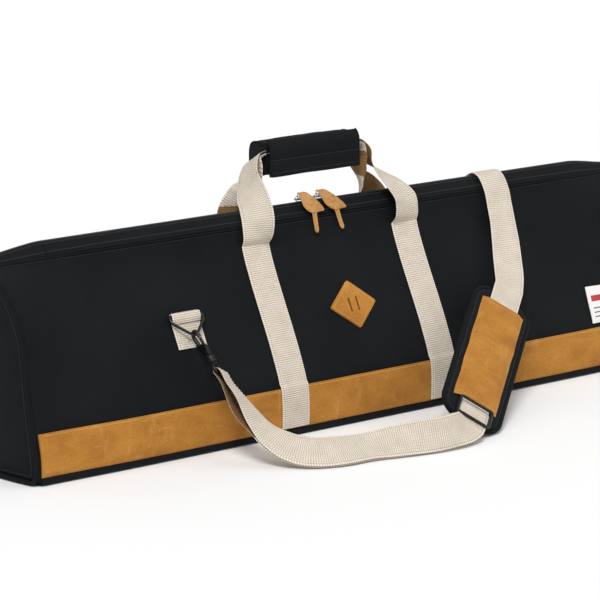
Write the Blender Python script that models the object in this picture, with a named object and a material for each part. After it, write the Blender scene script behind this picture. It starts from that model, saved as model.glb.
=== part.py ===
"""Long stick and hardware bag with webbing handles and a shoulder strap.

Metres, +Z up, +X along the bag, the front faces -Y. The origin is the middle of the base's underside.
"""
from math import cos, pi, radians, sin

import bmesh
import bpy
from mathutils import Matrix, Vector

# Driving dimensions of the shell
FRONT_END_X = 0.4485        # where the side panels stop at the front and back corners
END_BOW = 0.018             # how far each end panel bows outward at mid depth
HALF_DEPTH = 0.0945
CREST_Z = 0.247
CREST_DROP = 0.0095         # the crest falls this much at the two ends
SEAM_Y = 0.015              # seam between a side panel and its zip flap
PANEL = 0.0025              # thickness of padded panel fabric
BASE = 0.003
GAP = 0.0004
FLAP_LEFT = -0.385          # the opening flaps' two ends: the right one stops short of the strap
FLAP_RIGHT = 0.228
DROP_START_X = 0.385        # the crest starts to fall here
SUEDE = 0.0016
BAND_LOW = 0.0095
BAND_HIGH = 0.0575

# Outer section of the front half, (y, z) from the base corner to the zip flap's seam
MID_SECTION = [(-0.0945, 0.0035), (-0.0965, 0.022), (-0.0940, 0.058), (-0.0800, 0.092),
               (-0.0655, 0.120), (-0.0500, 0.148), (-0.0360, 0.174), (-0.0245, 0.198),
               (-0.0185, 0.216), (-SEAM_Y, 0.2320)]
END_SECTION = [(-0.0925, 0.0035), (-0.0925, 0.030), (-0.0885, 0.060), (-0.0840, 0.095),
               (-0.0820, 0.128), (-0.0785, 0.160), (-0.0670, 0.190), (-0.0490, 0.214),
               (-0.0300, 0.2255), (-SEAM_Y, 0.2300)]
BLEND_START_X = 0.31        # the middle section turns into the end section from here outward

# Webbing, handles and strap
WEB = 0.038
WEB_T = 0.0018
HANDLE_X = 0.109            # centre of each sewn handle run
RUN_LIFT = 0.0024           # the runs pass over the suede band
RUN_TOP = 0.2085
GRIP_CENTRE = Vector((-0.008, 0.022, 0.3005))
GRIP_LENGTH = 0.131
GRIP_SIZE = (0.040, 0.042)  # depth and height
GRIP_WEB_DIR = Vector((0, -0.86, 0.51)).normalized()
HANDLE_PIVOT = Vector((0, 0, 0.212))

# Zip sliders and pulls
SLIDER_X = {"left": -0.032, "right": -0.005}
BEAM_Z = 0.2540             # the slider's bridge, which the pull's link hangs on

# Ring tabs and snap hooks
FRONT_TAB_X = -0.230
BACK_TAB_X = 0.251
TAB_FOOT = (-0.0678, 0.116)  # (y, z) on the front panel, where a tab starts
TAB_UP = (0.485, 0.8745)    # up the panel from there, in y and z
BAR_UP = 0.0385
BAR_OUT = 0.0042
RING_WIRE = 0.0014
RING_REACH = 0.0268
HOOK_LENGTH = 0.0532        # eye bar to the ring's wire
BOW_MIDDLE = 0.0510
BOW_RADIUS = 0.0059
HOOK_WIRE = 0.0019

# Shoulder pad frame: along its width, down its length, and out of its face
PAD_ORIGIN = Vector((0.1689, -0.1011, 0.1285))
PAD_DOWN = Vector((-0.7065, -0.5535, -0.4409)).normalized()
PAD_ACROSS = Vector((0.7034, -0.4719, -0.5315))
PAD_ACROSS = (PAD_ACROSS - PAD_ACROSS.dot(PAD_DOWN) * PAD_DOWN).normalized()
PAD_OUT = PAD_DOWN.cross(PAD_ACROSS)
PAD_COVER = (0.057, 0.176)
PAD_EDGES = (-0.010, 0.067, -0.025, 0.204)   # the foam's limits across and down
PAD_T = 0.008
STRAP_ACROSS = 0.0285       # the strap runs down the cover's middle
STRAP_DEPTH = -0.0031       # strap's middle under the pad cover's outer face
ADJUSTER_DOWN = 0.195
ADJUSTER_WIRE = 0.0013
STRAND_RISE = 0.0015        # height of the strap's middle through the adjuster


def clear_scene():
    for item in list(bpy.data.objects):
        bpy.data.objects.remove(item, do_unlink=True)


def material(name, colour, roughness, metallic=0.0):
    made = bpy.data.materials.new(name)
    made.use_nodes = True
    shader = made.node_tree.nodes["Principled BSDF"]
    shader.inputs["Base Color"].default_value = (*colour, 1)
    shader.inputs["Roughness"].default_value = roughness
    shader.inputs["Metallic"].default_value = metallic
    made.diffuse_color = (*colour, 1)
    return made


FINISHES = {
    "black_fabric": ((0.018, 0.020, 0.022), 0.85, 0.0),
    "tan_suede": ((0.52, 0.25, 0.055), 0.8, 0.0),
    "beige_webbing": ((0.72, 0.63, 0.50), 0.8, 0.0),
    "black_plastic": ((0.012, 0.012, 0.013), 0.45, 0.0),
    "black_metal": ((0.02, 0.02, 0.02), 0.35, 0.8),
    "zip_metal": ((0.75, 0.75, 0.77), 0.2, 1.0),
    "black_foam": ((0.015, 0.016, 0.018), 0.9, 0.0),
    "white_label": ((0.85, 0.84, 0.80), 0.8, 0.0),
    "grey_board": ((0.12, 0.12, 0.12), 0.7, 0.0),
}


def finish(name, mesh, slot, pivot=(0, 0, 0)):
    """Add a mesh given in world coordinates as an object whose origin is its pivot."""
    mesh.transform(Matrix.Translation(-Vector(pivot)))
    made = bpy.data.objects.new(name, mesh)
    made.location = pivot
    made.data.materials.append(material(name, *FINISHES[slot]))
    bpy.context.scene.collection.objects.link(made)
    return made


def closed_mesh(name, points, faces):
    built = bmesh.new()
    corners = [built.verts.new(p) for p in points]
    for face in faces:
        built.faces.new([corners[i] for i in face])
    bmesh.ops.recalc_face_normals(built, faces=built.faces)
    mesh = bpy.data.meshes.new(name)
    built.to_mesh(mesh)
    built.free()
    return mesh


def slab(name, outer, inner):
    """Closed mesh between two grids of points of the same size."""
    rows = len(outer)
    columns = len(outer[0])
    points = [p for grid in (outer, inner) for row in grid for p in row]
    shift = rows * columns
    faces = []
    for i in range(rows - 1):
        for j in range(columns - 1):
            a = i * columns + j
            quad = (a, a + 1, a + columns + 1, a + columns)
            faces.append(quad)
            faces.append(tuple(k + shift for k in quad))
    rim = [j for j in range(columns)]
    rim += [i * columns + columns - 1 for i in range(1, rows)]
    rim += [(rows - 1) * columns + j for j in range(columns - 2, -1, -1)]
    rim += [i * columns for i in range(rows - 2, 0, -1)]
    for here, there in zip(rim, rim[1:] + rim[:1]):
        faces.append((here, there, there + shift, here + shift))
    return closed_mesh(name, points, faces)


def prism(name, outline, direction):
    """Closed mesh of a flat outline pushed along a direction."""
    count = len(outline)
    points = [Vector(p) for p in outline] + [Vector(p) + Vector(direction) for p in outline]
    faces = [tuple(range(count)), tuple(range(count, 2 * count))]
    for i in range(count):
        j = (i + 1) % count
        faces.append((i, j, j + count, i + count))
    return closed_mesh(name, points, faces)


def ribbon(name, path, width, thickness):
    """Flat webbing: path holds (centre, direction of the width) pairs."""
    centres = [Vector(centre) for centre, across in path]
    points = []
    for i, (centre, across) in enumerate(path):
        along = centres[min(i + 1, len(path) - 1)] - centres[max(i - 1, 0)]
        across = Vector(across)
        across = (across - across.dot(along) / along.length_squared * along).normalized()
        face = along.cross(across).normalized()
        for side, level in ((-1, -1), (1, -1), (1, 1), (-1, 1)):
            points.append(centres[i] + across * side * width / 2 + face * level * thickness / 2)
    faces = [(0, 1, 2, 3), tuple(len(points) - k for k in (4, 3, 2, 1))]
    for i in range(0, len(points) - 4, 4):
        for k in range(4):
            m = (k + 1) % 4
            faces.append((i + k, i + m, i + m + 4, i + k + 4))
    return closed_mesh(name, points, faces)


def tube(name, points, radius, closed, sides=8):
    """Round wire along a list of points."""
    curve = bpy.data.curves.new(name, "CURVE")
    curve.dimensions = "3D"
    curve.bevel_depth = radius
    curve.bevel_resolution = sides // 2 - 2
    curve.use_fill_caps = not closed
    spline = curve.splines.new("POLY")
    spline.points.add(len(points) - 1)
    for slot, point in zip(spline.points, points):
        slot.co = (*point, 1)
    spline.use_cyclic_u = closed
    holder = bpy.data.objects.new(name, curve)
    mesh = bpy.data.meshes.new_from_object(holder)
    bpy.data.objects.remove(holder)
    built = bmesh.new()
    built.from_mesh(mesh)
    bmesh.ops.remove_doubles(built, verts=built.verts, dist=0.00001)
    bmesh.ops.recalc_face_normals(built, faces=built.faces)
    built.to_mesh(mesh)
    built.free()
    mesh.name = name
    return mesh


def smooth_path(points, steps):
    """Catmull-Rom points through a list of vectors, the ends included."""
    knots = [Vector(p) for p in points]
    knots = [2 * knots[0] - knots[1]] + knots + [2 * knots[-1] - knots[-2]]
    result = []
    for i in range(1, len(knots) - 2):
        p0, p1, p2, p3 = knots[i - 1:i + 3]
        for step in range(steps):
            t = step / steps
            result.append(0.5 * (2 * p1 + (p2 - p0) * t + (2 * p0 - 5 * p1 + 4 * p2 - p3) * t * t
                                 + (3 * p1 - p0 - 3 * p2 + p3) * t ** 3))
    result.append(knots[-2])
    return result


def cut(target, tool, operation="DIFFERENCE"):
    """Apply a Boolean between two meshes given in world coordinates."""
    first = bpy.data.objects.new("cut_target", target)
    second = bpy.data.objects.new("cut_tool", tool)
    for item in (first, second):
        bpy.context.scene.collection.objects.link(item)
    change = first.modifiers.new("cut", "BOOLEAN")
    change.operation = operation
    change.object = second
    bpy.context.view_layer.update()
    result = bpy.data.meshes.new_from_object(first.evaluated_get(bpy.context.evaluated_depsgraph_get()))
    for item in (first, second):
        bpy.data.objects.remove(item, do_unlink=True)
    return result


def cylinder(name, start, end, radius, sides=16):
    start = Vector(start)
    axis = Vector(end) - start
    turn = axis.to_track_quat("Z", "Y")
    outline = []
    for i in range(sides):
        angle = 2 * pi * i / sides
        outline.append(start + turn @ Vector((radius * cos(angle), radius * sin(angle), 0)))
    return prism(name, outline, axis)


# Sections of the shell

def smoothstep(value):
    value = min(max(value, 0.0), 1.0)
    return value * value * (3 - 2 * value)


def section(x):
    """Outer (y, z) points of the front half at a place along the bag."""
    weight = smoothstep((abs(x) - BLEND_START_X) / (FRONT_END_X - BLEND_START_X))
    mixed = []
    for (my, mz), (ey, ez) in zip(MID_SECTION, END_SECTION):
        mixed.append((my + (ey - my) * weight, mz + (ez - mz) * weight))
    return mixed


def lifted(points, lift):
    """Offset a section outward by a distance, mitred at its corners."""
    normals = []
    for (ay, az), (by, bz) in zip(points, points[1:]):
        length = ((by - ay) ** 2 + (bz - az) ** 2) ** 0.5
        normals.append((-(bz - az) / length, (by - ay) / length))
    result = []
    for i, (y, z) in enumerate(points):
        before = normals[max(i - 1, 0)]
        after = normals[min(i, len(normals) - 1)]
        ny, nz = before[0] + after[0], before[1] + after[1]
        scale = 2 * lift / (ny * ny + nz * nz)
        result.append((y + ny * scale, z + nz * scale))
    return result


def clipped(points, low, high):
    """The stretch of a section between two heights."""
    def at(level):
        for (ay, az), (by, bz) in zip(points, points[1:]):
            if az <= level <= bz:
                return ay + (by - ay) * (level - az) / (bz - az), level
        return points[-1][0], level
    inside = [p for p in points if low + 0.001 < p[1] < high - 0.001]
    return [at(low)] + inside + [at(high)]


def end_x(y):
    return FRONT_END_X + END_BOW * (1 - (y / HALF_DEPTH) ** 2)


def crest_z(x):
    return CREST_Z - CREST_DROP * smoothstep((abs(x) - DROP_START_X) / (FRONT_END_X - DROP_START_X))


STATIONS = [-1, -0.945, -0.87, -0.78, -0.69, -0.6, 0.6, 0.69, 0.78, 0.87, 0.945, 1]


def bowed(share, y):
    """x of a station, which moves out with the bowed end only near the ends."""
    near_end = smoothstep((abs(share) - 0.6) / 0.4)
    return share * (FRONT_END_X + (end_x(y) - FRONT_END_X) * near_end)


def side_sheet(name, slot, stations, lift, thickness, side, low=None, high=None, trim=0.0):
    """A sheet that follows a side panel, from its lift to its lift plus thickness."""
    grids = ([], [])
    for share in stations:
        base = section(share * FRONT_END_X)
        for grid, level in zip(grids, (lift + thickness, lift)):
            line = lifted(base, level)
            if low is not None:
                line = clipped(line, low, high)
            x_sign = 1 if share > 0 else -1
            row = [Vector((bowed(share, y) - x_sign * trim * abs(share), -side * y, z)) for y, z in line]
            grid.append(row)
    return finish(name, slab(name, *grids), slot)


def straight_sheet(name, slot, x_low, x_high, lift, thickness, side, low, high):
    """A sheet on the middle of a side panel between two places along the bag."""
    grids = ([], [])
    for x in (x_low, x_high):
        base = section(x)
        for grid, level in zip(grids, (lift + thickness, lift)):
            line = clipped(lifted(base, level), low, high)
            grid.append([Vector((x, -side * y, z)) for y, z in line])
    return finish(name, slab(name, *grids), slot)


def build_side(word, side):
    side_sheet(word + "_panel", "black_fabric", STATIONS, -PANEL, PANEL, side)
    side_sheet(word + "_suede_band", "tan_suede", STATIONS, GAP, SUEDE, side, BAND_LOW, BAND_HIGH, 0.002)
    y = side * (HALF_DEPTH + 0.0022)
    strip = [(-FRONT_END_X + 0.004, y - 0.0014, 0.0015), (-FRONT_END_X + 0.004, y + 0.0014, 0.0015),
             (-FRONT_END_X + 0.004, y + 0.0014, 0.0085), (-FRONT_END_X + 0.004, y - 0.0014, 0.0085)]
    rise = Vector((2 * FRONT_END_X - 0.008, 0, 0))
    finish(word + "_bottom_piping", prism(word, strip, rise), "black_fabric")


def plan_outline(inset, side_steps=8):
    """Corner points of the base in plan, with bowed ends."""
    corners = []
    for sign in (1, -1):
        for i in range(side_steps + 1):
            y = sign * (-1 + 2 * i / side_steps) * (HALF_DEPTH - 0.0015 - inset)
            corners.append((sign * (end_x(y) - inset), y))
    return corners


def build_base():
    outline = [(x, y, 0) for x, y in plan_outline(0.0005)]
    finish("base_panel", prism("base_panel", outline, (0, 0, BASE)), "black_fabric")
    outline = [(x, y, BASE + GAP) for x, y in plan_outline(0.008)]
    finish("base_board", prism("base_board", outline, (0, 0, 0.0025)), "grey_board")


def rounded(points):
    """Cut each corner of an open outline once at its quarter points, the ends kept."""
    result = [points[0]]
    for (ay, az), (by, bz) in zip(points, points[1:]):
        result.append((ay * 0.75 + by * 0.25, az * 0.75 + bz * 0.25))
        result.append((ay * 0.25 + by * 0.75, az * 0.25 + bz * 0.75))
    return result + [points[-1]]


def end_half(inset):
    """Front half of an end's (y, z) outline, from the middle of its foot to the crest."""
    foot = [(END_SECTION[0][0] * i / 4, END_SECTION[0][1] - 0.0005) for i in range(5)]
    points = foot + END_SECTION[1:] + [(0, crest_z(FRONT_END_X))]
    return lifted(rounded(points), -inset)


def build_end(word, sign):
    half = [p for p in end_half(0.0040) if p[0] < -0.0005]
    climb = half[half.index(min(half[:9], key=lambda p: p[0])) - 2:]
    grids = ([], [])
    # The panel is a row of strips from front to back, so that it can bow.
    for share in (-1, -0.66, -0.33, 0, 0.33, 0.66, 1):
        for grid, level in zip(grids, (0.0040, 0.0015)):
            row = []
            for y, z in climb:
                place = y * -share
                row.append(Vector((sign * (end_x(place) + level), place, z)))
            grid.append(row)
    finish(word + "_end_panel", slab(word, *grids), "black_fabric")
    front = end_half(0.0006)
    loop = front + [(-y, z) for y, z in reversed(front[1:-1])]
    points = [Vector((sign * (end_x(y) + 0.0040), y, z)) for y, z in loop]
    finish(word + "_end_piping", tube(word, points, 0.0024, True), "black_fabric")


# Top of the bag: zip flaps, end tabs, coils, sliders and pulls

def build_flap(word, side):
    lift = 0.0008
    profile = [(-SEAM_Y + 0.0002, 0.2320 + lift), (-0.0036, CREST_Z - 0.0006),
               (-0.0036, CREST_Z - 0.0030), (-0.0126, 0.2329)]
    outline = [(FLAP_LEFT, -side * y, z) for y, z in profile]
    length = Vector((FLAP_RIGHT - FLAP_LEFT, 0, 0))
    pivot = (0, side * SEAM_Y, 0.2324)
    finish(word + "_zip_flap", prism(word, outline, length), "black_fabric", pivot)
    coil = [(-0.0032, CREST_Z - 0.0018), (-0.0003, CREST_Z - 0.0018),
            (-0.0003, CREST_Z + 0.0003), (-0.0032, CREST_Z + 0.0003)]
    outline = [(FLAP_LEFT, -side * y, z) for y, z in coil]
    finish(word + "_zip_coil", prism(word, outline, length), "black_plastic", pivot)


def build_end_tab(word, sign, start):
    """The fixed piece that closes the top between the zip flaps and an end panel."""
    places = [start, max(start, 0.3), 0.385, 0.405, 0.425, FRONT_END_X]
    places = sorted(set(p for p in places if p >= start))
    bow_start = max(start, 0.30)
    grids = ([], [])
    for x in places:
        seam_z = section(x)[-1][1]
        crest = crest_z(x)
        outer = [(-SEAM_Y + 0.0002, seam_z + 0.0008), (-0.0036, crest - 0.0006)]
        inner = [(-0.0126, seam_z + 0.0009), (-0.0030, crest - 0.0030)]
        for grid, half in zip(grids, (outer, inner)):
            full = half + [(-y, z) for y, z in reversed(half)]
            stretch = smoothstep((x - bow_start) / (FRONT_END_X - bow_start))
            grid.append([Vector((sign * (x + (end_x(y) - FRONT_END_X) * stretch), y, z)) for y, z in full])
    finish(word + "_top_tab", slab(word, *grids), "black_fabric")


def box(name, low, high):
    (ax, ay, az), (bx, by, bz) = low, high
    outline = [(ax, ay, az), (bx, ay, az), (bx, by, az), (ax, by, az)]
    return prism(name, outline, (0, 0, bz - az))


PULL_LINE = [(-0.0036, 0.2590), (-0.0088, 0.2575), (-0.0132, 0.2515), (-0.0162, 0.2430),
             (-0.0190, 0.2330), (-0.0225, 0.2190), (-0.0262, 0.2085)]
# (distance down the leather, left edge, right edge)
PULL_ROWS = [(0.0, -0.0048, 0.0045), (0.006, -0.0055, 0.009), (0.014, -0.0055, 0.016),
             (0.022, -0.003, 0.0235), (0.0265, 0.0015, 0.0245), (0.0285, 0.004, 0.0225),
             (0.0295, 0.0065, 0.0135), (0.048, 0.0072, 0.0130), (0.052, 0.0083, 0.0118)]


def line_point(line, distance):
    """Point and direction at a distance along a (y, z) line."""
    for (ay, az), (by, bz) in zip(line, line[1:]):
        length = ((by - ay) ** 2 + (bz - az) ** 2) ** 0.5
        if distance <= length + 1e-9:
            break
        distance -= length
    step = ((by - ay) / length, (bz - az) / length)
    return (ay + step[0] * distance, az + step[1] * distance), step


def build_slider(word, x, lean):
    pivot = (x, 0, BEAM_Z)
    body = box("plate", (x - 0.0058, -0.0034, 0.2502), (x + 0.0058, 0.0034, 0.2513))
    flange = box("flange", (x - 0.0058, -0.0034, 0.2478), (x + 0.0058, -0.0022, 0.2508))
    arch = box("arch", (x - 0.0042, -0.0005, 0.2508), (x + 0.0042, 0.0005, BEAM_Z + 0.0005))
    window = box("window", (x - 0.0030, -0.002, 0.2514), (x + 0.0030, 0.002, BEAM_Z - 0.0004))
    body = cut(cut(cut(body, flange, "UNION"), arch, "UNION"), window)
    finish("zip_slider_" + word, body, "zip_metal", (x, 0, CREST_Z))
    tilt = radians(35)
    middle = Vector((x, -0.0010 * cos(tilt), BEAM_Z + 0.0010 * sin(tilt)))
    ring = []
    for i in range(12):
        angle = 2 * pi * i / 12
        ring.append(middle + Vector((0, 0.0024 * cos(angle), 0.0024 * sin(angle))))
    stretch = Vector((0, -cos(tilt), sin(tilt)))
    for i, point in enumerate(ring):
        along = (point - middle).dot(stretch)
        if along > 0:
            ring[i] = point + stretch * 0.0020
    finish("pull_link_" + word, tube("link", ring, 0.0005, True), "zip_metal", pivot)
    outer, inner = [], []
    for down, left, right in PULL_ROWS:
        (y, z), (dy, dz) = line_point(PULL_LINE, down)
        out = Vector((0, dz, -dy))
        for grid, level in ((outer, 0.0009), (inner, -0.0009)):
            row = []
            for share in (0, 0.5, 1):
                across = left + (right - left) * share + lean * down
                row.append(Vector((x + across, y, z)) + out * level)
            grid.append(row)
    leather = slab("leather", outer, inner)
    far = middle + stretch * 0.0044
    slot = box("slot", far - Vector((0.0011, 0.0013, 0.004)), far + Vector((0.0011, 0.0013, 0.004)))
    finish("pull_leather_" + word, cut(leather, slot), "tan_suede", pivot)


# Carry handles

def run_centre(height, side):
    line = lifted(MID_SECTION, RUN_LIFT + WEB_T / 2)
    y, z = clipped(line, height, height + 0.01)[0]
    return Vector((0, -side * y, z))


def eased(path, steps):
    """Smooth both the centres and the width directions of a hand-made ribbon path."""
    centres = smooth_path([centre for centre, across in path], steps)
    widths = smooth_path([across for centre, across in path], steps)
    return list(zip(centres, widths))


GRIP_WEB_FACE = Vector((1, 0, 0)).cross(GRIP_WEB_DIR)
if GRIP_WEB_FACE.z < 0:
    GRIP_WEB_FACE = -GRIP_WEB_FACE
GRIP_LEFT = GRIP_CENTRE.x - GRIP_LENGTH / 2
GRIP_RIGHT = GRIP_CENTRE.x + GRIP_LENGTH / 2

FRONT_LEFT_LEG = [((-0.1090, -0.0268, 0.2210), (1, -0.15, 0)),
                  ((-0.1085, -0.0262, 0.2400), (0.88, -0.46, 0.02)),
                  ((-0.1055, -0.0160, 0.2560), (0.65, -0.74, 0.12)),
                  ((-0.1020, -0.0020, 0.2680), (0.40, -0.82, 0.30)),
                  ((-0.0970, 0.0092, 0.2790), (0.15, -0.87, 0.45)),
                  ((-0.0915, 0.0159, 0.2902), (0.05, -0.86, 0.50))]
FRONT_RIGHT_LEG = [((0.0757, 0.0160, 0.2900), (-0.08, -0.86, 0.49)),
                   ((0.0820, 0.0088, 0.2790), (-0.50, -0.80, 0.28)),
                   ((0.0895, -0.0020, 0.2680), (-0.78, -0.60, 0.14)),
                   ((0.0983, -0.0155, 0.2560), (-0.93, -0.36, 0.04)),
                   ((0.1068, -0.0262, 0.2400), (-0.98, -0.20, 0)),
                   ((0.1090, -0.0268, 0.2210), (-1, -0.15, 0))]
BACK_LEFT_LEG = [((-0.1090, 0.0266, 0.2220), (1, -0.1, 0)),
                 ((-0.1075, 0.0280, 0.2330), (0.98, -0.2, 0)),
                 ((-0.1035, 0.0270, 0.2430), (0.88, -0.46, 0)),
                 ((-0.0985, 0.0225, 0.2535), (0.68, -0.72, 0.12)),
                 ((-0.0940, 0.0167, 0.2642), (0.45, -0.84, 0.28)),
                 ((-0.0886, 0.0150, 0.2768), (0.20, -0.87, 0.42)),
                 ((-0.0856, 0.0150, 0.2885), (0.05, -0.86, 0.50))]
BACK_RIGHT_LEG = [((0.0680, 0.0165, 0.2885), (0, -0.87, 0.49)),
                  ((0.0675, 0.0168, 0.2768), (-0.05, -0.90, 0.42)),
                  ((0.0700, 0.0195, 0.2642), (-0.40, -0.88, 0.20)),
                  ((0.0785, 0.0240, 0.2535), (-0.80, -0.50, 0)),
                  ((0.0915, 0.0275, 0.2430), (-0.97, -0.15, 0)),
                  ((0.1035, 0.0282, 0.2330), (-0.99, -0.10, 0)),
                  ((0.1090, 0.0266, 0.2220), (-1, -0.1, 0))]
# Where the bands run into the grip: (distance along it, depth below their place inside)
MOUTH = [(GRIP_LEFT - 0.0100, 0.0032), (GRIP_LEFT - 0.0030, 0.0004), (GRIP_LEFT + 0.0060, 0),
         (GRIP_CENTRE.x, 0), (GRIP_RIGHT - 0.0060, 0), (GRIP_RIGHT + 0.0030, 0.0004),
         (GRIP_RIGHT + 0.0100, 0.0032)]


def handle_path(side, left_leg, right_leg, level):
    """Both legs of one handle and its stretch inside the grip."""
    foot = run_centre(RUN_TOP + 0.0012, side)
    start = Vector((-HANDLE_X, foot.y, foot.z))
    end = Vector((HANDLE_X, foot.y, foot.z))
    grip_points = []
    for x, drop in MOUTH:
        place = GRIP_CENTRE + GRIP_WEB_FACE * (level - drop)
        grip_points.append(((x, place.y, place.z), GRIP_WEB_DIR))
    path = [(start, (1, 0, 0))] + left_leg + grip_points + right_leg + [(end, (-1, 0, 0))]
    return eased(path, 3)


def rounded_box(centre, depth, height, radius, steps=3):
    """(y, z) outline of a box with round corners, counter-clockwise."""
    outline = []
    for turn, (ky, kz) in enumerate(((1, 1), (-1, 1), (-1, -1), (1, -1))):
        for i in range(steps + 1):
            angle = radians(90) * (turn + i / steps)
            outline.append((centre.y + ky * (depth / 2 - radius) + radius * cos(angle),
                            centre.z + kz * (height / 2 - radius) + radius * sin(angle)))
    return outline


def build_handles():
    for word, side, legs, level in (("front", -1, (FRONT_LEFT_LEG, FRONT_RIGHT_LEG), 0.0016),
                                    ("back", 1, (BACK_LEFT_LEG, BACK_RIGHT_LEG), -0.0016)):
        for hand, x in (("left", -HANDLE_X), ("right", HANDLE_X)):
            straight_sheet(f"{word}_{hand}_handle_run", "beige_webbing", x - WEB / 2, x + WEB / 2,
                           RUN_LIFT, WEB_T, side, 0.012, RUN_TOP)
        path = handle_path(side, *legs, level)
        finish(word + "_handle_loop", ribbon(word, path, WEB, WEB_T), "beige_webbing", HANDLE_PIVOT)
    outline = [(GRIP_LEFT, y, z) for y, z in rounded_box(GRIP_CENTRE, *GRIP_SIZE, 0.010)]
    grip = prism("grip", outline, (GRIP_LENGTH, 0, 0))
    slot = []
    for across, face in ((-1, -1), (1, -1), (1, 1), (-1, 1)):
        corner = GRIP_CENTRE + GRIP_WEB_DIR * across * 0.0197 + GRIP_WEB_FACE * face * 0.0031
        slot.append((GRIP_LEFT - 0.01, corner.y, corner.z))
    grip = cut(grip, prism("slot", slot, (GRIP_LENGTH + 0.02, 0, 0)))
    finish("handle_grip", grip, "black_fabric", HANDLE_PIVOT)
    build_grip_flap()


def build_grip_flap():
    face_y = GRIP_CENTRE.y - GRIP_SIZE[0] / 2
    top = GRIP_CENTRE.z + GRIP_SIZE[1] / 2
    corner = Vector((0, face_y + 0.010, top - 0.010))
    low = GRIP_CENTRE.z - GRIP_SIZE[1] / 2 + 0.002
    arcs = []
    for radius in (0.0146, 0.0124):
        arc = []
        for i in range(4):
            angle = radians(180 - 60 * i / 3)
            arc.append((corner.y + radius * cos(angle), corner.z + radius * sin(angle)))
        arcs.append(arc)
    outline = [(arcs[0][0][0], low)] + arcs[0] + arcs[1][::-1] + [(arcs[1][0][0], low)]
    outline = [(GRIP_LEFT + 0.001, y, z) for y, z in outline]
    hinge = (arcs[0][-1][0] + arcs[1][-1][0]) / 2, (arcs[0][-1][1] + arcs[1][-1][1]) / 2
    pivot = (0, *hinge)
    finish("grip_flap", prism("flap", outline, (GRIP_LENGTH - 0.002, 0, 0)), "black_fabric", pivot)
    for name, far, where in (("grip_loop_tape", 0.0010, HANDLE_PIVOT), ("grip_hook_tape", 0.0020, pivot)):
        mesh = box(name, (GRIP_LEFT + 0.008, face_y - far, low + 0.003),
                   (GRIP_RIGHT - 0.008, face_y - far + 0.0006, low + 0.023))
        finish(name, mesh, "black_plastic", where)


# Ring tabs, rings and snap hooks

def tab_point(x, up, out, side):
    y = TAB_FOOT[0] + TAB_UP[0] * up - TAB_UP[1] * out
    z = TAB_FOOT[1] + TAB_UP[1] * up + TAB_UP[0] * out
    return Vector((x, -side * y, z))


def build_tab(word, x, side):
    near, thick, hole = 0.0007, 0.0016, 0.0019
    outline = [(0.0, near), (BAR_UP, near)]
    for i in range(1, 7):
        angle = radians(-90 + 30 * i)
        outline.append((BAR_UP + (hole + thick) * cos(angle), BAR_OUT + (hole + thick) * sin(angle)))
    outline += [(BAR_UP - 0.0045, BAR_OUT + 0.0024), (BAR_UP - 0.0070, near + thick), (0.0, near + thick)]
    left = x - WEB / 2
    points = [tab_point(left, up, out, side) for up, out in outline]
    body = prism("tab", points, (WEB, 0, 0))
    bar = tab_point(x, BAR_UP, BAR_OUT, side)
    reach = Vector((WEB, 0, 0))
    body = cut(body, cylinder("bore", bar - reach, bar + reach, hole, 12))
    finish(word + "_ring_tab", body, "beige_webbing")
    return bar


def build_ring(word, x, side, down, slope):
    """down is -1 for a ring that hangs below its bar and 1 for one turned up."""
    half, shoulder = WEB / 2 + 0.0027, 0.0080
    plan = [(-half + 0.002, 0), (half - 0.002, 0), (half, 0.002), (half, shoulder),
            (0.0055, RING_REACH - 0.0030), (0.0025, RING_REACH - 0.0004), (0, RING_REACH),
            (-0.0025, RING_REACH - 0.0004), (-0.0055, RING_REACH - 0.0030), (-half, shoulder), (-half, 0.002)]
    points = [tab_point(x + across, BAR_UP + down * far, BAR_OUT + slope * far, side) for across, far in plan]
    finish(word + "_ring", tube("ring", points, RING_WIRE, True), "black_metal",
           tab_point(x, BAR_UP, BAR_OUT, side))
    return tab_point(x, BAR_UP + down * RING_REACH, BAR_OUT + slope * RING_REACH, side)


def frame_of(axis, sideways):
    """Two unit vectors: across and forward, square to an axis."""
    across = (sideways - sideways.dot(axis) * axis).normalized()
    return across, axis.cross(across)


def build_hook(word, ring_point, toward_ring, bow_side, eye_side):
    """Body, gate and swivel eye of a snap hook. Returns the eye's middle and its bar direction."""
    axis = Vector(toward_ring).normalized()
    eye = ring_point - axis * HOOK_LENGTH
    across, depth = frame_of(axis, Vector(bow_side))

    def at(x, z):
        return eye + across * x + axis * z
    spine = [at(0, 0.0225), at(-0.0025, 0.0290), at(-0.0052, 0.0360), at(-BOW_RADIUS, 0.0440)]
    for i in range(7):
        angle = pi - pi * i / 6
        spine.append(at(BOW_RADIUS * cos(angle), BOW_MIDDLE + BOW_RADIUS * sin(angle)))
    spine.append(at(BOW_RADIUS, 0.0472))
    barrel = cylinder("barrel", at(0, 0.0149), at(0, 0.0250), 0.0052, 14)
    body = cut(barrel, tube("spine", spine, HOOK_WIRE, False), "UNION")
    body = cut(body, cylinder("socket", at(0, 0.0140), at(0, 0.0225), 0.0027, 12))
    finish(word + "_hook_body", body, "black_plastic", eye)
    gate_foot = at(0.0026, 0.0300)
    gate = tube("gate", [gate_foot, at(0.0040, 0.0380), at(BOW_RADIUS - 0.0003, 0.0464)], 0.0015, False)
    finish(word + "_hook_gate", gate, "black_plastic", gate_foot)
    wide, high = frame_of(axis, Vector(eye_side))
    del high
    half = WEB / 2 + 0.0022
    loop = [(-half, 0.0), (half, 0.0), (half, 0.0060), (0.0060, 0.0125), (-0.0060, 0.0125), (-half, 0.0060)]
    ring = tube("eye", [eye + wide * x + axis * z for x, z in loop], 0.0018, True)
    post = cylinder("post", at(0, 0.0125), at(0, 0.0215), 0.0022, 10)
    finish(word + "_hook_eye", cut(ring, post, "UNION"), "black_plastic", eye)
    return eye, wide, axis


# Shoulder strap, adjuster and pad

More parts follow.
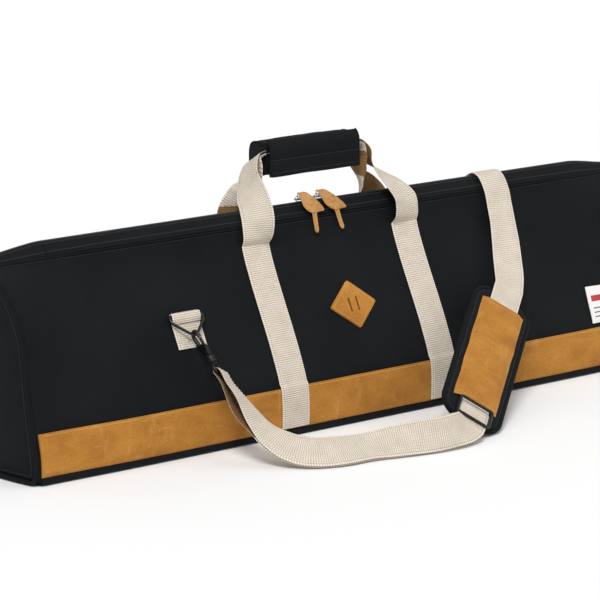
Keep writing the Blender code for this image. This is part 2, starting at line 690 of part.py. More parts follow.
def pad_point(across, down, out):
    return PAD_ORIGIN + PAD_ACROSS * across + PAD_DOWN * down + PAD_OUT * out


def build_pad():
    left, right, top, bottom = PAD_EDGES
    radius = 0.026
    outline = []
    corners = ((right - radius, bottom - radius, 0), (left + radius, bottom - radius, 90),
               (left + radius, top + radius, 180), (right - radius, top + radius, 270))
    for across, down, first in corners:
        for i in range(4):
            angle = radians(first + 30 * i)
            outline.append(pad_point(across + radius * cos(angle), down + radius * sin(angle), -0.0046))
    finish("shoulder_pad", prism("pad", outline, -PAD_OUT * PAD_T), "black_foam")
    width, length = PAD_COVER
    profile = [(0, -0.0042), (0, -0.0026), (0.0045, -0.0004), (0.0075, 0), (width - 0.0075, 0),
               (width - 0.0045, -0.0004), (width, -0.0026), (width, -0.0042), (width - 0.0030, -0.0042),
               (width - 0.0065, -0.0018), (width - 0.0085, -0.0016), (0.0085, -0.0016),
               (0.0065, -0.0018), (0.0030, -0.0042)]
    outline = [pad_point(across, 0, out) for across, out in profile]
    finish("pad_cover", prism("cover", outline, PAD_DOWN * length), "tan_suede")


def build_adjuster():
    """A wire rectangle over the strap with a middle bar under it."""
    half, reach = WEB / 2 + 0.0018, 0.0130
    over = STRAND_RISE + WEB_T / 2 + 0.0005 + ADJUSTER_WIRE
    under = STRAND_RISE - WEB_T / 2 - 0.0005 - ADJUSTER_WIRE

    def at(across, down, out):
        return pad_point(STRAP_ACROSS + across, ADJUSTER_DOWN + down, out)
    frame = [at(-half, -reach, over), at(half, -reach, over), at(half, reach, over), at(-half, reach, over)]
    frame = tube("frame", frame, ADJUSTER_WIRE, True)
    bar = tube("bar", [at(-half, 0, over), at(-half, 0, under), at(half, 0, under), at(half, 0, over)],
               ADJUSTER_WIRE, False)
    finish("strap_adjuster", cut(frame, bar, "UNION"), "black_metal")


# Middle of the doubled strap from the hook's eye to the adjuster: centre and width direction
STRAP_LOOP = [((-0.2125, -0.1375, 0.0600), (-0.55, -0.80, -0.22)),
              ((-0.2050, -0.1560, 0.0425), (-0.42, -0.80, -0.40)),
              ((-0.1955, -0.1750, 0.0285), (-0.32, -0.78, -0.54)),
              ((-0.1820, -0.1930, 0.0195), (-0.20, -0.75, -0.63)),
              ((-0.1630, -0.2075, 0.0158), (-0.10, -0.74, -0.66)),
              ((-0.1350, -0.2170, 0.0150), (0, -0.78, -0.63)),
              ((-0.0940, -0.2195, 0.0138), (0, -0.83, -0.55)),
              ((-0.0550, -0.2330, 0.0178), (0, -0.62, -0.78)),
              ((-0.0190, -0.2470, 0.0214), (0.05, -0.25, -0.97)),
              ((0.0040, -0.2480, 0.0224), (0.20, -0.25, -0.95)),
              ((0.0225, -0.2430, 0.0212), (0.45, -0.36, -0.82))]
# From the pad over the crest to the back hook
STRAP_TOP = [((0.2280, -0.0760, 0.1400), (0.86, -0.40, -0.30)),
             ((0.2365, -0.0625, 0.1560), (0.95, -0.24, -0.12)),
             ((0.2435, -0.0505, 0.1740), (0.99, -0.10, 0)),
             ((0.2490, -0.0385, 0.1940), (1, 0, 0)),
             ((0.2520, -0.0285, 0.2130), (1, 0, 0)),
             ((0.2530, -0.0215, 0.2300), (1, 0, 0)),
             ((0.2525, -0.0125, 0.2445), (1, 0, 0)),
             ((0.2520, -0.0040, 0.2500), (1, 0, 0)),
             ((0.2515, 0.0040, 0.2500), (1, 0, 0)),
             ((0.2510, 0.0130, 0.2448), (1, 0, 0))]
LAYER = 0.0014              # half the distance between the doubled strap's layers
TURN = 0.0034               # radius of the strap's middle round a hook's bar


def build_strap(eye, eye_bar, eye_axis, back_eye, back_axis):
    start = [(eye, eye_bar), (eye - eye_axis * 0.009, eye_bar)]
    last = pad_point(STRAP_ACROSS, ADJUSTER_DOWN + 0.0190, STRAND_RISE + LAYER)
    middle = eased(start + STRAP_LOOP + [(last, PAD_ACROSS)], 3)
    layers = ([], [])
    for i, (centre, across) in enumerate(middle):
        along = middle[min(i + 1, len(middle) - 1)][0] - middle[max(i - 1, 0)][0]
        across = (across - across.dot(along) / along.length_squared * along).normalized()
        face = along.cross(across).normalized()
        spread = LAYER + (TURN - LAYER) * (1 - smoothstep((centre - eye).length / 0.018))
        for layer, way in zip(layers, (1, -1)):
            layer.append((centre + face * spread * way, across))
    first_face = (layers[1][0][0] - eye).normalized()
    turn = []
    for i in range(1, 6):
        angle = pi * i / 6
        turn.append((eye + (first_face * cos(angle) + eye_axis * sin(angle)) * TURN, eye_bar))
    path = layers[1][::-1][2:] + turn + layers[0][:-1]
    for down, out in ((ADJUSTER_DOWN + 0.0150, STRAND_RISE), (0.1870, STRAND_RISE), (0.1780, STRAP_DEPTH),
                      (0.1000, STRAP_DEPTH), (0.0200, STRAP_DEPTH), (-0.0380, STRAP_DEPTH)):
        path.append((pad_point(STRAP_ACROSS, down, out), PAD_ACROSS))
    path += eased([path[-1]] + STRAP_TOP, 3)[1:]
    sideways = Vector((1, 0, 0))
    outward = back_axis.cross(sideways)
    if outward.y < 0:
        outward = -outward
    for i in range(0, 7):
        angle = pi * i / 6
        path.append((back_eye + (outward * cos(angle) + back_axis * sin(angle)) * TURN, sideways))
    path.append((back_eye - outward * TURN - back_axis * 0.010, sideways))
    finish("shoulder_strap", ribbon("strap", path, WEB, WEB_T), "beige_webbing")


# Trim on the front panel

def panel_patch(name, slot, outline, thickness, holes=()):
    """A flat patch that lies on the front panel; outline holds (x, z) points."""
    low = min(z for x, z in outline)
    high = max(z for x, z in outline)
    middle_x = sum(x for x, z in outline) / len(outline)
    line = section(middle_x)
    (ay, az), (by, bz) = clipped(line, low, low + 0.01)[0], clipped(line, high, high + 0.01)[0]
    slope = (by - ay) / (bz - az)
    out = Vector((0, -(bz - az), by - ay)).normalized()
    lift = 0.0012
    points = [Vector((x, ay + slope * (z - az), z)) + out * lift for x, z in outline]
    mesh = prism(name, points, out * thickness)
    for x, z in holes:
        centre = Vector((x, ay + slope * (z - az), z))
        tool = box("slit", centre - Vector((0.0011, 0.02, 0.0075)), centre + Vector((0.0011, 0.02, 0.0075)))
        mesh = cut(mesh, tool)
    finish(name, mesh, slot)


def build_trim():
    diamond = [(0.003, 0.105), (0.0365, 0.131), (0.003, 0.157), (-0.0305, 0.131)]
    soft = []
    for (ax, az), (bx, bz) in zip(diamond, diamond[1:] + diamond[:1]):
        soft.append((ax * 0.94 + bx * 0.06, az * 0.94 + bz * 0.06))
        soft.append((ax * 0.06 + bx * 0.94, az * 0.06 + bz * 0.94))
    panel_patch("lash_patch", "tan_suede", soft, 0.0018, ((-0.0025, 0.131), (0.0085, 0.131)))
    side_sheet("side_label", "white_label", STATIONS[8:10], 0.0016, 0.0008, -1, 0.0625, 0.106)


def main():
    clear_scene()
    build_base()
    build_side("front", -1)
    build_side("back", 1)
    build_end("left", -1)
    build_end("right", 1)
    build_flap("front", -1)
    build_flap("back", 1)
    build_end_tab("left", -1, -FLAP_LEFT + 0.0006)
    build_end_tab("right", 1, FLAP_RIGHT + 0.0006)
    build_slider("left", SLIDER_X["left"], 0.0)
    build_slider("right", SLIDER_X["right"], 0.20)
    build_handles()
    build_tab("front", FRONT_TAB_X, -1)
    build_tab("back", BACK_TAB_X, 1)
    front_ring = build_ring("front", FRONT_TAB_X, -1, -1, 0.31)
    back_ring = build_ring("back", BACK_TAB_X, 1, 1, 0.25)
    eye, eye_bar, eye_axis = build_hook("front", front_ring, (-0.17, 0.68, 0.71), (0, -1, 0), (-0.56, -0.83, 0))
    back_eye, back_bar, back_axis = build_hook("back", back_ring, (0, 0.36, -0.933), (0, 1, 0), (1, 0, 0))
    del back_bar
    build_strap(eye, eye_bar, eye_axis, back_eye, back_axis)
    build_pad()
    build_adjuster()
    build_trim()


main()
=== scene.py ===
"""Looks of a long stick bag in black fabric with suede trim, webbing handles and a shoulder strap.

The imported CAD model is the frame: X runs along the bag, the front faces -Y and the floor is Z = 0.
"""
from math import cos, pi, radians, sin

import bmesh
import bpy
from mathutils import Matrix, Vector, geometry, noise


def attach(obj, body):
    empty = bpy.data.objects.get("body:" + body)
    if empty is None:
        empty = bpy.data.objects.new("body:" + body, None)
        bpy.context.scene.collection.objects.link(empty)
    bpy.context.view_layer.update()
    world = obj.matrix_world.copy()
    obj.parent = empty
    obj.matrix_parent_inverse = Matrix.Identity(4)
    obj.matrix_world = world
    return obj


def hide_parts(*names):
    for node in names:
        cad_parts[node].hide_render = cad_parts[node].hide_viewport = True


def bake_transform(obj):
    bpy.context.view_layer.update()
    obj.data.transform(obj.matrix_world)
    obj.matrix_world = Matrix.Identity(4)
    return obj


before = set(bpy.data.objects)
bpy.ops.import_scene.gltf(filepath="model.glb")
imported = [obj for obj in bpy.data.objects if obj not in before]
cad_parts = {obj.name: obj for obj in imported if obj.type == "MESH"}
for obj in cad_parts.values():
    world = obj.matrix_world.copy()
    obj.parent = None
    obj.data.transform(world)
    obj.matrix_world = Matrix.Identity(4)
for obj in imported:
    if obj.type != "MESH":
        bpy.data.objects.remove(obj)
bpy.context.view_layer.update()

# Shell, as in the CAD model
FRONT_END_X = 0.4485
END_BOW = 0.018
HALF_DEPTH = 0.0945
CREST_Z = 0.247
CREST_DROP = 0.0095
DROP_START_X = 0.385
SEAM_Y = 0.015
FLAP_LEFT = -0.385
FLAP_RIGHT = 0.228
FLAP_GAP = 0.0006
TOP_END_X = 0.4475
TEETH_END_X = 0.440
TOOTH_PITCH = 0.0022
BLEND_START_X = 0.31
BAND_LOW = 0.0095
BAND_HIGH = 0.0575
MID_SECTION = [(-0.0945, 0.0035), (-0.0965, 0.022), (-0.0940, 0.058), (-0.0800, 0.092),
               (-0.0655, 0.120), (-0.0500, 0.148), (-0.0360, 0.174), (-0.0245, 0.198),
               (-0.0185, 0.216), (-SEAM_Y, 0.2320)]
END_SECTION = [(-0.0925, 0.0035), (-0.0925, 0.030), (-0.0885, 0.060), (-0.0840, 0.095),
               (-0.0820, 0.128), (-0.0785, 0.160), (-0.0670, 0.190), (-0.0490, 0.214),
               (-0.0300, 0.2255), (-SEAM_Y, 0.2300)]

# Webbing, handles and grip
WEB = 0.038
WEB_T = 0.0018
RIBBON_T = 0.0017
HANDLE_X = 0.109
RUN_FOOT = 0.0115
RUN_END = 0.2097
GRIP_CENTRE = Vector((-0.008, 0.022, 0.3005))
GRIP_LENGTH = 0.131
GRIP_SIZE = (0.040, 0.042)
GRIP_WEB_DIR = Vector((0, -0.86, 0.51)).normalized()
GRIP_WEB_FACE = Vector((0, 0.51, 0.86)).normalized()
GRIP_LEFT = GRIP_CENTRE.x - GRIP_LENGTH / 2
GRIP_RIGHT = GRIP_CENTRE.x + GRIP_LENGTH / 2

# Zip, ring tabs and hooks
BEAM_Z = 0.2540
FRONT_TAB_X = -0.230
BACK_TAB_X = 0.251
TAB_FOOT = (-0.0678, 0.116)
TAB_UP = (0.485, 0.8745)
BAR_UP = 0.0385
BAR_OUT = 0.0042
RING_WIRE = 0.0017
RING_REACH = 0.0268
HOOK_LENGTH = 0.0532
BOW_MIDDLE = 0.0510
BOW_RADIUS = 0.0059

# Shoulder pad
PAD_ORIGIN = Vector((0.1689, -0.1011, 0.1285))
PAD_DOWN = Vector((-0.7065, -0.5535, -0.4409)).normalized()
PAD_ACROSS = Vector((0.7034, -0.4719, -0.5315))
PAD_ACROSS = (PAD_ACROSS - PAD_ACROSS.dot(PAD_DOWN) * PAD_DOWN).normalized()
PAD_OUT = PAD_DOWN.cross(PAD_ACROSS)
PAD_COVER = (0.057, 0.176)
PAD_EDGES = (-0.010, 0.067, -0.025, 0.204)
STRAP_ACROSS = 0.0285
STRAP_DEPTH = -0.0031
WRINKLE_LOW = -0.0014
ADJUSTER_DOWN = 0.195
STRAND_RISE = 0.0015
STRAP_EYE_REACH = 0.085
LAYER = 0.0014    # from the strap's two layers' middle to each
TURN = 0.0034    # radius of the strap's turns round the hooks' eyes

# Patch and label
PATCH_X = 0.003
PATCH_Z = 0.131
PATCH_HALF = (0.0335, 0.026)
PATCH_GRID = 0.0012
LABEL_EDGES = (0.3500, 0.3900, 0.0628, 0.1058)

# Camera

camera = bpy.data.objects.new("camera", bpy.data.cameras.new("camera"))
camera.data.lens = 182.94
camera.data.sensor_width = 36
camera.data.clip_end = 50
camera.location = (-2.1124, -2.7907, 0.9663)
camera.rotation_euler = (radians(76.49), 0, radians(-36.74))
bpy.context.scene.collection.objects.link(camera)
bpy.context.scene.camera = camera
bpy.context.scene.view_settings.view_transform = "Standard"


# Material helpers

class Value:
    """A number in a material; arithmetic on it adds Math nodes."""

    def __init__(self, paint, socket):
        self.paint, self.socket = paint, socket

    def __add__(self, other):
        return self.paint.maths("ADD", self, other)

    def __sub__(self, other):
        return self.paint.maths("SUBTRACT", self, other)

    def __rsub__(self, other):
        return self.paint.maths("SUBTRACT", other, self)

    def __mul__(self, other):
        return self.paint.maths("MULTIPLY", self, other)

    def __truediv__(self, other):
        return self.paint.maths("DIVIDE", self, other)


class Paint:
    """A material with a Principled shader, and the nodes that feed it."""

    def __init__(self, name, colour, roughness, metallic=0.0, sheen=0.0, specular=0.5):
        self.made = bpy.data.materials.new(name)
        self.made.use_nodes = True
        self.made.diffuse_color = (*colour, 1)
        self.inputs = self.made.node_tree.nodes["Principled BSDF"].inputs
        values = {"Base Color": colour, "Roughness": roughness, "Metallic": metallic, "Sheen Weight": sheen,
                  "Sheen Roughness": 0.5, "Specular IOR Level": specular}
        for socket, value in values.items():
            self.plug(socket, value)

    def plug(self, socket, value):
        """Set a socket, or the shader's input of that name, to a number, a colour or a node's output."""
        if isinstance(socket, str):
            socket = self.inputs[socket]
        if isinstance(value, Value):
            self.made.node_tree.links.new(value.socket, socket)
        elif value is not None:
            socket.default_value = (*value, 1) if isinstance(value, tuple) else value

    def node(self, kind, inputs, output=0, **settings):
        """Add a node; inputs holds values by name or number, settings its properties."""
        added = self.made.node_tree.nodes.new(kind)
        for key, value in settings.items():
            setattr(added, key, value)
        for key, value in inputs.items():
            self.plug(added.inputs[key], value)
        return Value(self, added.outputs[output])

    def maths(self, operation, *values):
        return self.node("ShaderNodeMath", dict(enumerate(values)), operation=operation)

    def place(self, by_uv=False):
        """The texture's place, from UV or from the object's own coordinates."""
        return self.node("ShaderNodeTexCoord", {}, "UV" if by_uv else "Object")

    def axes(self, place):
        return [self.node("ShaderNodeSeparateXYZ", {0: place}, axis) for axis in range(3)]

    def noise(self, place, scale, detail=4.0, roughness=0.55, stretch=(1, 1, 1)):
        sized = self.node("ShaderNodeMapping", {"Vector": place})
        sized.socket.node.inputs["Scale"].default_value = stretch
        return self.node("ShaderNodeTexNoise", {"Vector": sized, "Scale": scale, "Detail": detail,
                                                "Roughness": roughness}, "Fac")

    def ramp(self, value, *stops):
        ramp = self.node("ShaderNodeValToRGB", {0: value})
        elements = ramp.socket.node.color_ramp.elements
        while len(elements) < len(stops):
            elements.new(0.5)
        for element, (place, colour) in zip(elements, stops):
            element.position = place
            element.color = (*colour, 1)
        return ramp

    def grey_ramp(self, value, low, dark, high, light):
        return self.ramp(value, (low, (dark, dark, dark)), (high, (light, light, light)))

    def mix(self, factor, first, second, mode="MIX"):
        return self.node("ShaderNodeMix", {0: factor, 6: first, 7: second}, 2, data_type="RGBA",
                         blend_type=mode)

    def bump(self, height, distance, strength=1.0, before=None):
        raised = self.node("ShaderNodeBump", {"Strength": strength, "Distance": distance, "Height": height,
                                              "Normal": before})
        self.plug("Normal", raised)
        return raised

    def ribs(self, value, pitch):
        """Rounded ridges, 0 to 1, one for each pitch."""
        return self.maths("ABSOLUTE", self.maths("SINE", value * (pi / pitch)))


# Materials

def woven(name, colour, light, pitch, by_uv=True, depth=0.00025):
    """Plain-weave synthetic fabric: warp and weft threads take turns on top."""
    paint = Paint(name, colour, 0.78, sheen=0.01, specular=0.12)
    place = paint.place(by_uv)
    u, v, w = paint.axes(place)
    if not by_uv:
        v = v + w
    cells = paint.maths("FLOOR", u / pitch) + paint.maths("FLOOR", v / pitch)
    odd = paint.maths("PINGPONG", cells, 1.0)
    weave = paint.ribs(u, pitch) * odd + paint.ribs(v, pitch) * (1.0 - odd)
    cloudy = paint.noise(place, 9.0, 5.0)
    fine = paint.noise(place, 900.0, 2.0, 0.6, (1, 0.35, 1))
    shade = paint.ramp(cloudy, (0.3, colour), (0.72, light))
    # Painted shade between the threads and painted light on their crowns, taken from the weave's height.
    threads = paint.grey_ramp(weave, 0.1, 0.62, 0.9, 1.15)
    paint.plug("Base Color", paint.mix(0.8, shade, threads, "MULTIPLY"))
    paint.plug("Roughness", cloudy * 0.12 + 0.68)
    paint.bump(weave + fine * 0.35, depth, 0.75)
    return paint.made


def suede(name, dark, mid, light, waxed):
    """Waxed suede: soft blotches, pale scuffed streaks along the skin and a short nap."""
    paint = Paint(name, mid, 0.82, sheen=0.12, specular=0.25)
    paint.plug("Sheen Tint", (1.0, 0.78, 0.45))
    place = paint.place(True)
    blotch = paint.noise(place, 26.0, 6.0, 0.62, (0.7, 1.0, 1))
    streak = paint.noise(place, 48.0, 5.0, 0.7, (0.30, 1.5, 1))
    smear = paint.noise(place, 30.0, 4.0, 0.6, (1.6, 0.45, 1))
    nap = paint.noise(place, 1500.0, 3.0, 0.6)
    pores = paint.noise(place, 420.0, 3.0, 0.6)
    base = paint.ramp(blotch, (0.28, dark), (0.50, mid), (0.74, light))
    scuff = paint.grey_ramp(paint.maths("MAXIMUM", streak, smear), 0.57, 0, 0.72, 1)
    base = paint.mix(scuff * 0.55, base, waxed)
    grain = paint.grey_ramp(pores, 0.30, 0.76, 0.62, 1.06)
    paint.plug("Base Color", paint.mix(0.75, base, grain, "MULTIPLY"))
    paint.plug("Roughness", 0.88 - scuff * 0.16)
    paint.bump(blotch + streak, 0.0012, 0.5, paint.bump(nap, 0.00018, 0.8))
    return paint.made


def webbing():
    """Ribbed beige webbing, dark brown where painted shade goes: crosswise ribs broken into columns, narrow
    selvedges.

    U runs across the webbing in metres; where painted shade goes it has 1 added.
    """
    column_width, rib_pitch, selvedge_width = 0.0032, 0.0025, 0.0022
    paint = Paint("beige_webbing", (0.66, 0.58, 0.47), 0.86, sheen=0.06, specular=0.2)
    place = paint.place(True)
    u, v = paint.axes(place)[:2]
    # Marks the faces that get painted shade (U above 0.5).
    shaded_side = paint.maths("GREATER_THAN", u, 0.5)
    u = u - shaded_side
    column = paint.maths("FLOOR", u / column_width)
    rib = paint.ribs(v + paint.maths("PINGPONG", column, 1.0) * 0.0006, rib_pitch)
    from_middle = paint.maths("ABSOLUTE", u - WEB / 2)
    selvedge = paint.maths("GREATER_THAN", from_middle, WEB / 2 - selvedge_width)
    groove = paint.maths("COMPARE", from_middle, WEB / 2 - 0.0026, 0.0005)
    height = rib + paint.ribs(u, column_width) * 0.18 - groove * 0.25
    cloudy = paint.noise(place, 60.0, 4.0)
    fuzz = paint.noise(place, 1300.0, 2.0)
    base = paint.ramp(cloudy, (0.3, (0.600, 0.525, 0.435)), (0.7, (0.680, 0.610, 0.520)))
    base = paint.mix(selvedge * 0.5, base, (0.78, 0.72, 0.63))
    # Painted shade: the dark brown that stands for the webbing in shade.
    inside = paint.ramp(cloudy, (0.3, (0.235, 0.120, 0.040)), (0.7, (0.310, 0.165, 0.060)))
    # Painted shade in the grooves between the ribs and along the edge grooves, a little painted light on the
    # rib crowns.
    rib_shading = paint.ramp(height, (0.15, (0.44, 0.39, 0.33)), (0.75, (1.05, 1.05, 1.05)))
    paint.plug("Base Color", paint.mix(0.8, paint.mix(shaded_side, base, inside), rib_shading, "MULTIPLY"))
    paint.bump(height, 0.0006, 0.9, paint.bump(fuzz, 0.0001, 0.5))
    return paint.made


def plain(name, colour, roughness, metallic=0.0, grain=700.0, depth=0.00005, coat=0.0, variation=0.15,
          specular=0.5):
    """Plastic, metal, thread or board: a faint cloudiness and a fine grain."""
    paint = Paint(name, colour, roughness, metallic, specular=specular)
    paint.plug("Coat Weight", coat)
    paint.plug("Coat Roughness", 0.25)
    place = paint.place()
    cloud = paint.noise(place, 90.0, 4.0)
    light = tuple(min(c * (1 + variation) + 0.003, 1) for c in colour)
    dark = tuple(c * (1 - variation) for c in colour)
    paint.plug("Base Color", paint.ramp(cloud, (0.3, dark), (0.7, light)))
    paint.plug("Roughness", cloud * 0.18 + (roughness - 0.09))
    paint.bump(paint.noise(place, grain, 3.0), depth, 0.6)
    return paint.made


def dimpled_mesh():
    """Spacer mesh on the shoulder pad: rows of small dimples."""
    paint = Paint("black_foam", (0.006, 0.007, 0.008), 0.85, sheen=0.01, specular=0.12)
    cells = paint.node("ShaderNodeTexVoronoi", {"Vector": paint.place(), "Scale": 420.0, "Randomness": 0.25},
                       "Distance", feature="F1")
    # Painted shade: darker in the dimples' hollows.
    paint.plug("Base Color", paint.ramp(cells, (0.1, (0.002, 0.002, 0.003)), (0.55, (0.0095, 0.0105, 0.012))))
    paint.bump(cells, 0.0006, 0.7)
    return paint.made


BLACK = (0.0030, 0.0040, 0.0052)
BLACK_LIGHT = (0.0068, 0.0082, 0.0100)
BINDING = (0.0035, 0.0042, 0.0055)
BINDING_LIGHT = (0.0075, 0.0088, 0.0105)
MATERIALS = {
    "black_fabric": woven("black_fabric", BLACK, BLACK_LIGHT, 0.0009),
    "binding": woven("binding_fabric", BINDING, BINDING_LIGHT, 0.0008, depth=0.0004),
    "tape_fabric": woven("zip_tape_fabric", BINDING, BINDING_LIGHT, 0.0016, depth=0.0006),
    "cad_fabric": woven("base_fabric", BLACK, BLACK_LIGHT, 0.0009, by_uv=False),
    "white_label": woven("white_label", (0.78, 0.77, 0.75), (0.86, 0.85, 0.83), 0.0004, depth=0.0001),
    "tan_suede": suede("tan_suede", (0.285, 0.112, 0.014), (0.395, 0.165, 0.024), (0.480, 0.215, 0.036),
                       (0.58, 0.30, 0.075)),
    "pull_leather": suede("pull_leather", (0.36, 0.17, 0.050), (0.47, 0.245, 0.080), (0.54, 0.30, 0.11),
                          (0.60, 0.36, 0.15)),
    "beige_webbing": webbing(),
    "black_foam": dimpled_mesh(),
    "black_plastic": plain("black_plastic", (0.005, 0.005, 0.006), 0.36, grain=900.0, specular=0.30),
    "black_metal": plain("black_metal", (0.005, 0.005, 0.006), 0.30, grain=500.0, depth=0.00003, coat=0.08,
                         specular=0.35),
    "zip_teeth": plain("zip_teeth", (0.008, 0.008, 0.009), 0.35, grain=1500.0),
    "zip_metal": plain("zip_metal", (0.60, 0.60, 0.60), 0.20, 1.0, 800.0, 0.00002, variation=0.06),
    "label_red": plain("label_red", (0.42, 0.035, 0.04), 0.8),
    "label_grey": plain("label_grey", (0.10, 0.10, 0.11), 0.8),
    "black_thread": plain("black_thread", (0.020, 0.022, 0.026), 0.6, grain=2500.0),
    "tan_thread": plain("tan_thread", (0.62, 0.36, 0.11), 0.6, grain=2500.0),
    "beige_thread": plain("beige_thread", (0.74, 0.68, 0.56), 0.65, grain=2500.0),
    "grey_board": plain("grey_board", (0.12, 0.12, 0.12), 0.7),
    "loop_tape": plain("loop_tape", (0.010, 0.010, 0.011), 0.95, grain=1800.0, depth=0.0006),
}


# Mesh helpers

def finish(made, look, body, *nodes):
    made.data.materials.clear()
    made.data.materials.append(MATERIALS[look])
    if body:
        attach(made, body)
    if nodes:
        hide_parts(*nodes)
    return made


def add_object(name, mesh, sharp):
    mesh.shade_smooth()
    mesh.set_sharp_from_angle(angle=radians(sharp))
    made = bpy.data.objects.new(name, mesh)
    bpy.context.scene.collection.objects.link(made)
    return made


def add_mesh(name, points, faces, uvs=None, sharp=40):
    mesh = bpy.data.meshes.new(name)
    mesh.from_pydata([tuple(p) for p in points], [], faces)
    mesh.validate()
    if uvs:
        layer = mesh.uv_layers.new(name="UVMap")
        for loop in mesh.loops:
            layer.data[loop.index].uv = uvs[loop.vertex_index]
    built = bmesh.new()
    built.from_mesh(mesh)
    bmesh.ops.recalc_face_normals(built, faces=built.faces)
    built.to_mesh(mesh)
    built.free()
    return add_object(name, mesh, sharp)


def tube_faces(rings, count, first=0, caps=True):
    """Faces round a tube whose rings of points follow each other in a list, from point first on."""
    faces = []
    for i in range(first, first + (rings - 1) * count, count):
        for j in range(count):
            k = (j + 1) % count
            faces.append((i + j, i + k, i + count + k, i + count + j))
    if caps:
        last = first + (rings - 1) * count
        faces += [tuple(range(first, first + count)), tuple(range(last, last + count))]
    return faces


def tube(name, rings, sharp, uv_rows=None):
    """Closed tube through rings of points, with flat ends."""
    points = [p for ring in rings for p in ring]
    uvs = [uv for row in uv_rows for uv in row] if uv_rows else None
    return add_mesh(name, points, tube_faces(len(rings), len(rings[0])), uvs, sharp)


def panel_uv(rows):
    """UV in metres: along X, and up the surface."""
    result = []
    for row in rows:
        climb = 0.0
        line = []
        for i, point in enumerate(row):
            if i:
                climb += (point - row[i - 1]).length
            line.append((point.x, climb))
        result.append(line)
    return result


def slab(name, pairs, uv_rows=None):
    """Closed sheet from rows of (outer point, inner point), with the same UV on both faces."""
    rows, columns = len(pairs), len(pairs[0])
    points = [pair[face] for face in (0, 1) for row in pairs for pair in row]
    uv_rows = uv_rows or panel_uv([[outer for outer, inner in row] for row in pairs])
    uvs = [uv for row in uv_rows for uv in row] * 2
    shift = rows * columns
    faces = []
    for i in range(rows - 1):
        for j in range(columns - 1):
            a = i * columns + j
            quad = (a, a + 1, a + columns + 1, a + columns)
            faces += [quad, tuple(k + shift for k in reversed(quad))]
    rim = list(range(columns))
    rim += [i * columns + columns - 1 for i in range(1, rows)]
    rim += [(rows - 1) * columns + j for j in range(columns - 2, -1, -1)]
    rim += [i * columns for i in range(rows - 2, 0, -1)]
    for here, there in zip(rim, rim[1:] + rim[:1]):
        faces.append((here, there, there + shift, here + shift))
    return add_mesh(name, points, faces, uvs)


def between(before, start, end, after, t):
    """Point at share t of the stretch from start to end of a smooth curve, on numbers or vectors."""
    return 0.5 * (2 * start + (end - before) * t
                  + (2 * before - 5 * start + 4 * end - after) * t * t
                  + (3 * start - before - 3 * end + after) * t ** 3)


def smooth_path(points, steps):
    """Curve through the points with the given number of steps for each stretch."""
    points = [Vector(p) for p in points]
    path = []
    for i in range(len(points) - 1):
        ends = points[max(i - 1, 0)], points[i], points[i + 1], points[min(i + 2, len(points) - 1)]
        path += [between(*ends, k / steps) for k in range(steps)]
    return path + [points[-1]]


def eased(path, steps):
    """Smooth path of (centre, width direction)."""
    return list(zip(*(smooth_path(part, steps) for part in zip(*path))))


def square_to(direction, along):
    """The part of a direction that is at right angles to another one."""
    return (direction - direction.dot(along) / along.length_squared * along).normalized()


def ribbon_frames(path):
    """Centre, width direction and face direction along a ribbon, and the length so far."""
    centres = [Vector(centre) for centre, across in path]
    frames = []
    length = 0.0
    for i, (centre, across) in enumerate(path):
        along = centres[min(i + 1, len(path) - 1)] - centres[max(i - 1, 0)]
        across = square_to(Vector(across), along)
        if i:
            length += (centres[i] - centres[i - 1]).length
        frames.append((centres[i], across, along.cross(across).normalized(), length))
    return frames


def ribbon(name, path, cup=0.0, shaded=None):
    """Flat webbing with rounded edges; the last argument, a function of (face, place), says where painted
    shade goes on face 1 or -1.
    """
    columns = 16
    rings, uv_rows = [], []
    for centre, across, face, length in ribbon_frames(path):
        ring, uvs = [], []
        for level in (1, -1):
            for j in range(columns + 1)[::level]:
                share = 2 * j / columns - 1
                thick = RIBBON_T / 2 * (1 - 0.6 * abs(share) ** 10)
                lean = cup * (1 - share * share)
                spot = centre + across * (share * WEB / 2) + face * (level * thick + lean)
                # Painted shade: points marked here take the webbing's dark brown shade colour.
                in_shade = 1 if shaded and shaded(level, spot) else 0
                ring.append(spot)
                uvs.append(((share + 1) / 2 * WEB + in_shade, length))
        rings.append(ring)
        uv_rows.append(uvs)
    return tube(name, rings, 50, uv_rows)


def wire(name, points, radius, closed=False, resolution=5):
    """Round wire or cord along a list of points, as a mesh."""
    curve = bpy.data.curves.new(name, "CURVE")
    curve.dimensions = "3D"
    curve.bevel_depth = radius
    curve.bevel_resolution = resolution
    curve.use_fill_caps = not closed
    spline = curve.splines.new("POLY")
    spline.points.add(len(points) - 1)
    for slot, point in zip(spline.points, points):
        slot.co = (*point, 1)
    spline.use_cyclic_u = closed
    holder = bpy.data.objects.new(name, curve)
    mesh = bpy.data.meshes.new_from_object(holder)
    bpy.data.objects.remove(holder)
    return add_object(name, mesh, 50)


def rounded_loop(corners, radius, steps=5):
    """Closed outline with each corner rounded by an arc-like curve."""
    result = []
    count = len(corners)
    for i in range(count):
        before, here, after = (Vector(corners[(i + k) % count]) for k in (-1, 0, 1))
        start = here + (before - here).normalized() * min(radius, (before - here).length * 0.45)
        end = here + (after - here).normalized() * min(radius, (after - here).length * 0.45)
        for k in range(steps + 1):
            t = k / steps
            result.append(start * (1 - t) ** 2 + here * 2 * t * (1 - t) + end * t * t)
    return result


def turned(name, start, axis, profile, sides=28):
    """Solid of revolution: profile holds (distance along the axis, radius)."""
    axis = Vector(axis).normalized()
    turn = axis.to_track_quat("Z", "Y")
    rings = []
    for along, radius in profile:
        ring = []
        for i in range(sides):
            angle = 2 * pi * i / sides
            spoke = turn @ Vector((radius * cos(angle), radius * sin(angle), 0))
            ring.append(Vector(start) + axis * along + spoke)
        rings.append(ring)
    return tube(name, rings, 35)


def walked(corners, steps):
    """Points along a closed outline, the given number of them on each side, each as a tuple."""
    result = []
    for a, b in zip(corners, corners[1:] + corners[:1]):
        result += [tuple(p + (q - p) * k / steps for p, q in zip(a, b)) for k in range(steps)]
    return result


